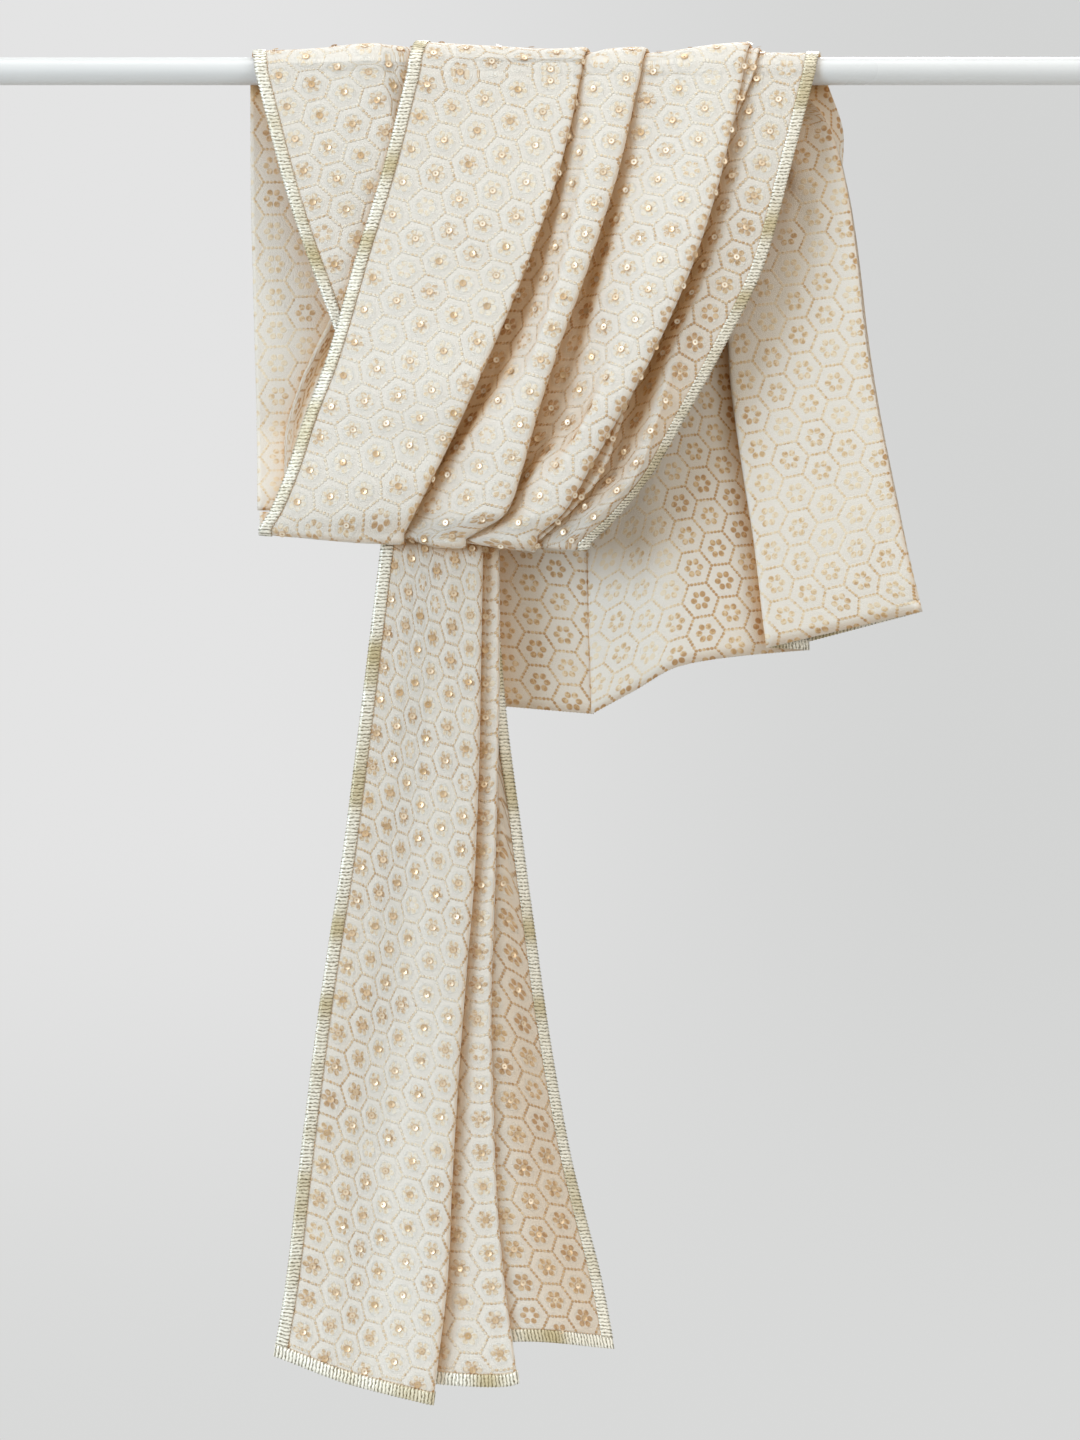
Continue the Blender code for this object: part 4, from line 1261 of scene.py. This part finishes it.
def add_cloth(stretch, materials):
    obj = add_object("cloth_" + stretch.name, grid_mesh(stretch.name, stretch.grid, stretch.uv), materials)
    thicken(obj, CLOTH_WALL, 1)
    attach(obj, "root")
    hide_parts(stretch.name)
    return obj


# The lace's mesh: steps along and columns across, its thread's thickness, how far its edges droop from
# its middle's height, and how far its edges' loops run ahead of the ribs
LACE_STEP = 0.73
LACE_COLUMNS = 5
LACE_THREAD = 0.45
LACE_CROWN = (0.12, 0.88)
PICOT_LEAD = 0.8


def resampled(lines, along, spots):
    """The lines' points, which lie at these lengths along, at other lengths."""
    flat = lines.reshape(len(along), -1)
    result = np.stack([np.interp(spots, along, column) for column in flat.T], axis=1)
    return result.reshape((len(spots),) + lines.shape[1:])


def add_lace(node, edge, inner, lift_normal, material):
    """A strip of ribbed lace between an edge of the cloth and a line a lace's width inside it."""
    shares = np.linspace(0, 1, LACE_COLUMNS)[None, :, None]
    strip = edge[:, None] + (inner - edge)[:, None] * shares
    strip = strip + lift_normal[:, None] * (CLOTH_WALL / 2 + LACE_GAP + LACE_THREAD / 2)
    along = lengths_along(strip)[:, LACE_COLUMNS // 2]
    spots = np.arange(0, along[-1], LACE_STEP)
    grid = resampled(strip, along, spots)
    normal = resampled(lift_normal, along, spots)
    phase = 2 * math.pi * spots / RIB_SPACING
    crown = np.sin(np.pi * np.linspace(*LACE_CROWN, LACE_COLUMNS))
    ribs = RIB_HEIGHT * (0.5 + 0.5 * np.sin(phase))
    grid = grid + normal[:, None] * ribs[:, None, None] * crown[None, :, None]
    sideways = grid[:, -1] - grid[:, 0]
    sideways /= np.linalg.norm(sideways, axis=1, keepdims=True) + 1e-9
    loops = (PICOT * np.sin(phase + PICOT_LEAD))[:, None]
    grid[:, 0] -= sideways * loops
    grid[:, -1] += sideways * loops
    places = np.zeros(grid.shape[:2] + (2,))
    places[:, :, 0] = np.linspace(0, LACE_WIDTH, LACE_COLUMNS)[None, :]
    places[:, :, 1] = spots[:, None]
    obj = add_object("trim_" + node, grid_mesh(node, grid, places), [material])
    thicken(obj, LACE_THREAD)
    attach(obj, "root")
    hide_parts(node)
    return obj


def border_lace(node, stretch, right, rows, material):
    """Lace on a long border of a stretch, on the cloth's face."""
    marks = stretch.marks
    first, last, near = (marks[-2], -1, -2) if right else (0, marks[1], 1)
    grid = stretch.grid[rows]
    normal = normals_of(stretch.grid)[rows][:, near]
    return add_lace(node, grid[:, first], grid[:, last], normal, material)


# Within these distances of a tight fold, in mm, a hem's lace is pressed into the cloth and free of it
PRESSED = (5, 34)


def hem_lace(node, stretch, rows, material, fold=None):
    """Lace on a hem, whose outer line is the first of the two rows and its inner line the other.

    fold is the column of a tight fold with the lace inside it, where it is pressed into the cloth.
    """
    outer, inner = rows
    normal = normals_of(stretch.grid)[inner]
    if fold is not None:
        arc = lengths_across(stretch.grid[inner][None])[0]
        normal = normal * eased(np.abs(arc - arc[fold]), *PRESSED)[:, None]
    return add_lace(node, stretch.grid[outer], stretch.grid[inner], normal, material)


# Drop to which the tail's right lace reaches up behind the swag
TAIL_LACE_TOP = 300.0

# A sequin: its radius, sides, how far it may tilt and how high it lies, in mm, the share that is missing,
# and how far inside the lace the first ones lie
SEQUIN_RADIUS = 2.6
SEQUIN_SIDES = 12
SEQUIN_TILT = 0.20
SEQUIN_LIFT = 1.25
SEQUINS_LEFT_OUT = 0.07
SEQUIN_MARGIN = 3.0

# A sequin's rings from its hole to its rim: radius, height, and how much of the rim's tone each takes
SEQUIN_RINGS = (
    (0.7, 0.0, 0.5),
    (0.45 * SEQUIN_RADIUS, 0.04, 0.0),
    (0.74 * SEQUIN_RADIUS, 0.12, 0.1),
    (SEQUIN_RADIUS, 0.28, 1.0),
)

# Tones run from 0, pale, which is a painted white reflection, to 1, brown-gold: the rim's own, and the least
# of the tail's sequins, which get less of that painted reflection
RIM_TONE = 0.9
DULL_TONE = 0.45


def cell_centres(uv):
    """Centre of the honeycomb's cell that each place on the flat cloth is nearest to."""
    size = np.array([2 * HEX_ACROSS, HEX_ALONG])
    centres, distances = [], []
    for shift in ((FIRST_COLUMN, 0.0), (FIRST_COLUMN + HEX_ACROSS, HALF_CELL)):
        centre = np.round((uv - shift) / size) * size + shift
        centres.append(centre)
        distances.append((((uv - centre) * (SQUEEZE, 1.0)) ** 2).sum(axis=-1))
    return np.where((distances[1] < distances[0])[..., None], centres[1], centres[0])


def cross(one, other):
    """Area spanned by two arrows on the flat cloth."""
    return one[..., 0] * other[..., 1] - one[..., 1] * other[..., 0]


def sequin_places(stretch):
    """Position and normal on the cloth of every flower's middle, and its place on the flat cloth."""
    grid, uv = stretch.grid, stretch.uv
    normal = normals_of(grid)
    low, high = slice(None, -1), slice(1, None)
    corners = ((low, low), (low, high), (high, high), (high, low))
    centre = cell_centres(sum(uv[part] for part in corners) / 4)
    spots = []
    for triangle in ((0, 1, 2), (0, 2, 3)):
        a, b, c = (uv[corners[k]] for k in triangle)
        area = cross(b - a, c - a)
        area = np.where(np.abs(area) < 1e-6, 1e-6, area)
        second = cross(centre - a, c - a) / area
        third = cross(b - a, centre - a) / area
        inside = (second >= 0) & (third >= 0) & (second + third < 1) & (area > 1e-3)
        for r, col in zip(*np.nonzero(inside)):
            weights = (1 - second[r, col] - third[r, col], second[r, col], third[r, col])
            at = [(r + (k in (2, 3)), col + (k in (1, 2))) for k in triangle]
            point = sum(w * grid[p] for w, p in zip(weights, at))
            out = sum(w * normal[p] for w, p in zip(weights, at))
            spots.append((point, out / np.linalg.norm(out), centre[r, col]))
    return spots


def add_sequins(stretch, material, seed, dull_tone):
    """Small cupped sequins with a hole, one on nearly every flower, each tilted its own way."""
    chance = np.random.default_rng(seed)
    vertices, faces, tones = [], [], []
    turns = [2 * math.pi * k / SEQUIN_SIDES for k in range(SEQUIN_SIDES)]
    for point, out, centre in sequin_places(stretch):
        tilt = chance.normal(0, SEQUIN_TILT / 2, 3)
        missing = chance.random() < SEQUINS_LEFT_OUT
        near_edge = min(centre[0], CLOTH_WIDTH - centre[0], centre[1]) < LACE_WIDTH + SEQUIN_MARGIN
        if missing or near_edge:
            continue
        axis = Vector(out + tilt).normalized()
        side = axis.orthogonal().normalized()
        other = axis.cross(side)
        base = len(vertices)
        middle = Vector(point) + Vector(out) * SEQUIN_LIFT
        # Each sequin's tone at random; its pale end is a painted reflection
        tone = dull_tone + (1 - dull_tone) * chance.random()
        for radius, height, rim in SEQUIN_RINGS:
            for turn in turns:
                spoke = side * math.cos(turn) + other * math.sin(turn)
                vertices.append((middle + spoke * radius + axis * height) * MM)
                tones.append(max(tone * (1 - rim), rim * RIM_TONE))
        for ring in range(len(SEQUIN_RINGS) - 1):
            for k in range(SEQUIN_SIDES):
                a = base + ring * SEQUIN_SIDES + k
                b = base + ring * SEQUIN_SIDES + (k + 1) % SEQUIN_SIDES
                faces.append((a, a + SEQUIN_SIDES, b + SEQUIN_SIDES, b))
    mesh = bpy.data.meshes.new("sequins_" + stretch.name)
    mesh.from_pydata(vertices, [], faces)
    mesh.attributes.new("tone", "FLOAT", "POINT").data.foreach_set("value", tones)
    mesh.shade_smooth()
    obj = add_object("sequins_" + stretch.name, mesh, [material])
    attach(obj, "root")
    return obj


# Area lights: where they stand and point to, their width and height in metres, and power in watts
Light = namedtuple("Light", "name place target size power colour")
LIGHTS = (
    Light("key", (-3.7, -3.6, 0.35), (0, 0, -0.6), (2.2, 2.6), 198, (0.64, 0.81, 0.985)),
    Light("fill", (2.2, -1.6, 0.2), (0, 0, -0.5), (1.2, 1.8), 17, (0.85, 0.92, 1.0)),
    Light("top", (0.0, -0.6, 1.6), (0, 0, -0.4), (1.6, 1.0), 16, (0.95, 0.98, 1.0)),
    Light("rear", (0.6, 3.0, 2.4), (0, 0, -0.5), (1.8, 1.4), 70, (0.85, 0.93, 1.0)),
)


def add_light(light):
    data = bpy.data.lights.new(light.name, "AREA")
    data.shape = "RECTANGLE"
    data.size, data.size_y = light.size
    data.energy = light.power
    data.color = light.colour
    lamp = bpy.data.objects.new(light.name, data)
    lamp.location = light.place
    lamp.rotation_euler = (Vector(light.target) - Vector(light.place)).to_track_quat("-Z", "Y").to_euler()
    bpy.context.scene.collection.objects.link(lamp)


# Colours of the surroundings: warm and dim behind the camera, and the pale wall behind the object
FRONT_LOW = (0.40, 0.335, 0.25)
FRONT_HIGH = (0.83, 0.72, 0.58)
WALL_LEFT = (0.775, 0.775, 0.775)
WALL_RIGHT = (0.655, 0.66, 0.655)
WALL_LOW = (0.69, 0.695, 0.69)


def set_world():
    """Pale surroundings: lightest behind the object's left, darker behind the camera and low down."""
    bpy.context.scene.view_settings.view_transform = "Standard"
    world = bpy.data.worlds.new("studio")
    bpy.context.scene.world = world
    world.use_nodes = True
    nodes = Nodes(world.node_tree)
    x, y, z = nodes.split(nodes.node("ShaderNodeTexCoord", output="Generated"))
    front = nodes.mix(nodes.step(z, -0.35, 0.55), FRONT_LOW, FRONT_HIGH)
    wall = nodes.mix(nodes.step(x, -0.10, 0.14), WALL_LEFT, WALL_RIGHT)
    wall = nodes.mix(nodes.step(z, -0.21, -0.02), WALL_LOW, wall)
    background = nodes.tree.nodes["Background"]
    nodes.put(background.inputs["Color"], nodes.mix(nodes.step(y, -0.6, 0.5), front, wall))
    nodes.put(background.inputs["Strength"], 1.0)


# The camera's film, in mm, and the height that it sees at the rail's distance
FILM_WIDTH = 27.0
FILM_HEIGHT = 36.0
VIEW_HEIGHT = 1152.0


def add_camera():
    """The photograph's view: level, from 2.7 m in front, at the middle of the hanging cloth."""
    data = bpy.data.cameras.new("camera")
    data.sensor_fit = "VERTICAL"
    data.sensor_height = FILM_HEIGHT
    data.sensor_width = FILM_WIDTH
    data.lens = FILM_HEIGHT * VIEW_DISTANCE / VIEW_HEIGHT
    camera = bpy.data.objects.new("camera", data)
    camera.location = (0.0, -VIEW_DISTANCE * MM, -VIEW_DROP * MM)
    camera.rotation_euler = (math.pi / 2, 0.0, 0.0)
    bpy.context.scene.collection.objects.link(camera)
    bpy.context.scene.camera = camera


# The floor that the object hangs over, in metres
FLOOR_RADIUS = 0.68
FLOOR_HEIGHT = -1.25


def add_floor():
    bpy.ops.mesh.primitive_circle_add(
        vertices=96, radius=FLOOR_RADIUS, fill_type="NGON", location=(0, 0, FLOOR_HEIGHT)
    )
    floor = bpy.context.object
    floor.name = "floor"
    shader = Shader("pale_floor")
    spot = shader.node("ShaderNodeTexCoord", output="Object")
    colour = shader.mix(shader.noise(spot, 5.0), (0.74, 0.74, 0.73), (0.78, 0.78, 0.77))
    shader.set(base_color=colour, roughness=0.8)
    floor.data.materials.append(shader.material)
    floor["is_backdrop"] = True


def flat_size(stretch):
    """Width and length in metres that a stretch was cut to."""
    length = float(np.mean(lengths_along(stretch.grid)[-1])) * MM
    return CLOTH_WIDTH * MM, length


def main():
    add_camera()
    tail = make_tail()
    loop = make_loop(tail)
    swag = make_swag(loop)
    back = make_back(swag)
    tail, loop, swag, back = (rumpled(stretch) for stretch in (tail, loop, swag, back))

    materials = [cloth_material("ivory_face", FACE), cloth_material("ivory_wrong_side", WRONG_SIDE)]
    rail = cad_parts["rail"]
    rail.data.materials.clear()
    rail.data.materials.append(rail_material())
    lace = lace_material()
    sequin = sequin_material()
    cloths = [add_cloth(stretch, materials) for stretch in (tail, loop, swag, back)]

    # A border's lace ends where a hem's lace starts, and the tail's right one under the swag
    lace_rows = int(np.argmax(-tail.grid[:, -1, 2] < TAIL_LACE_TOP))
    trims = {
        "tail": [
            border_lace("lace_tail_left", tail, False, slice(2, None), lace),
            border_lace("lace_tail_right", tail, True, slice(2, lace_rows), lace),
            hem_lace("lace_tail_hem", tail, (0, 1), lace),
        ],
        "loop": [border_lace("lace_loop_left", loop, False, slice(None), lace)],
        "swag": [
            border_lace("lace_swag_left", swag, False, slice(None), lace),
            border_lace("lace_swag_right", swag, True, slice(None), lace),
        ],
        "back": [
            border_lace("lace_back_left", back, False, slice(None, -2), lace),
            border_lace("lace_back_right", back, True, slice(None, -2), lace),
            hem_lace("lace_back_hem", back, (-1, -2), lace, back.marks[OUTER_FOLD]),
        ],
    }
    stretches = {"tail": tail, "loop": loop, "swag": swag, "back": back}
    holds = {"tail": "hung", "loop": "hung", "swag": "gathered", "back": "hung"}
    for seed, (key, cloth) in enumerate(zip(stretches, cloths)):
        dull_tone = DULL_TONE if key == "tail" else 0.0
        sequins = add_sequins(stretches[key], sequin, seed, dull_tone)
        flat_size(stretches[key])
        holds[key]
        trims[key] + [sequins]

    set_world()
    for light in LIGHTS:
        add_light(light)
    add_floor()


main()

{"cad": [list(corner) for corner in CAD_BOUNDS], "scene": [list(c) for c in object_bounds()]}
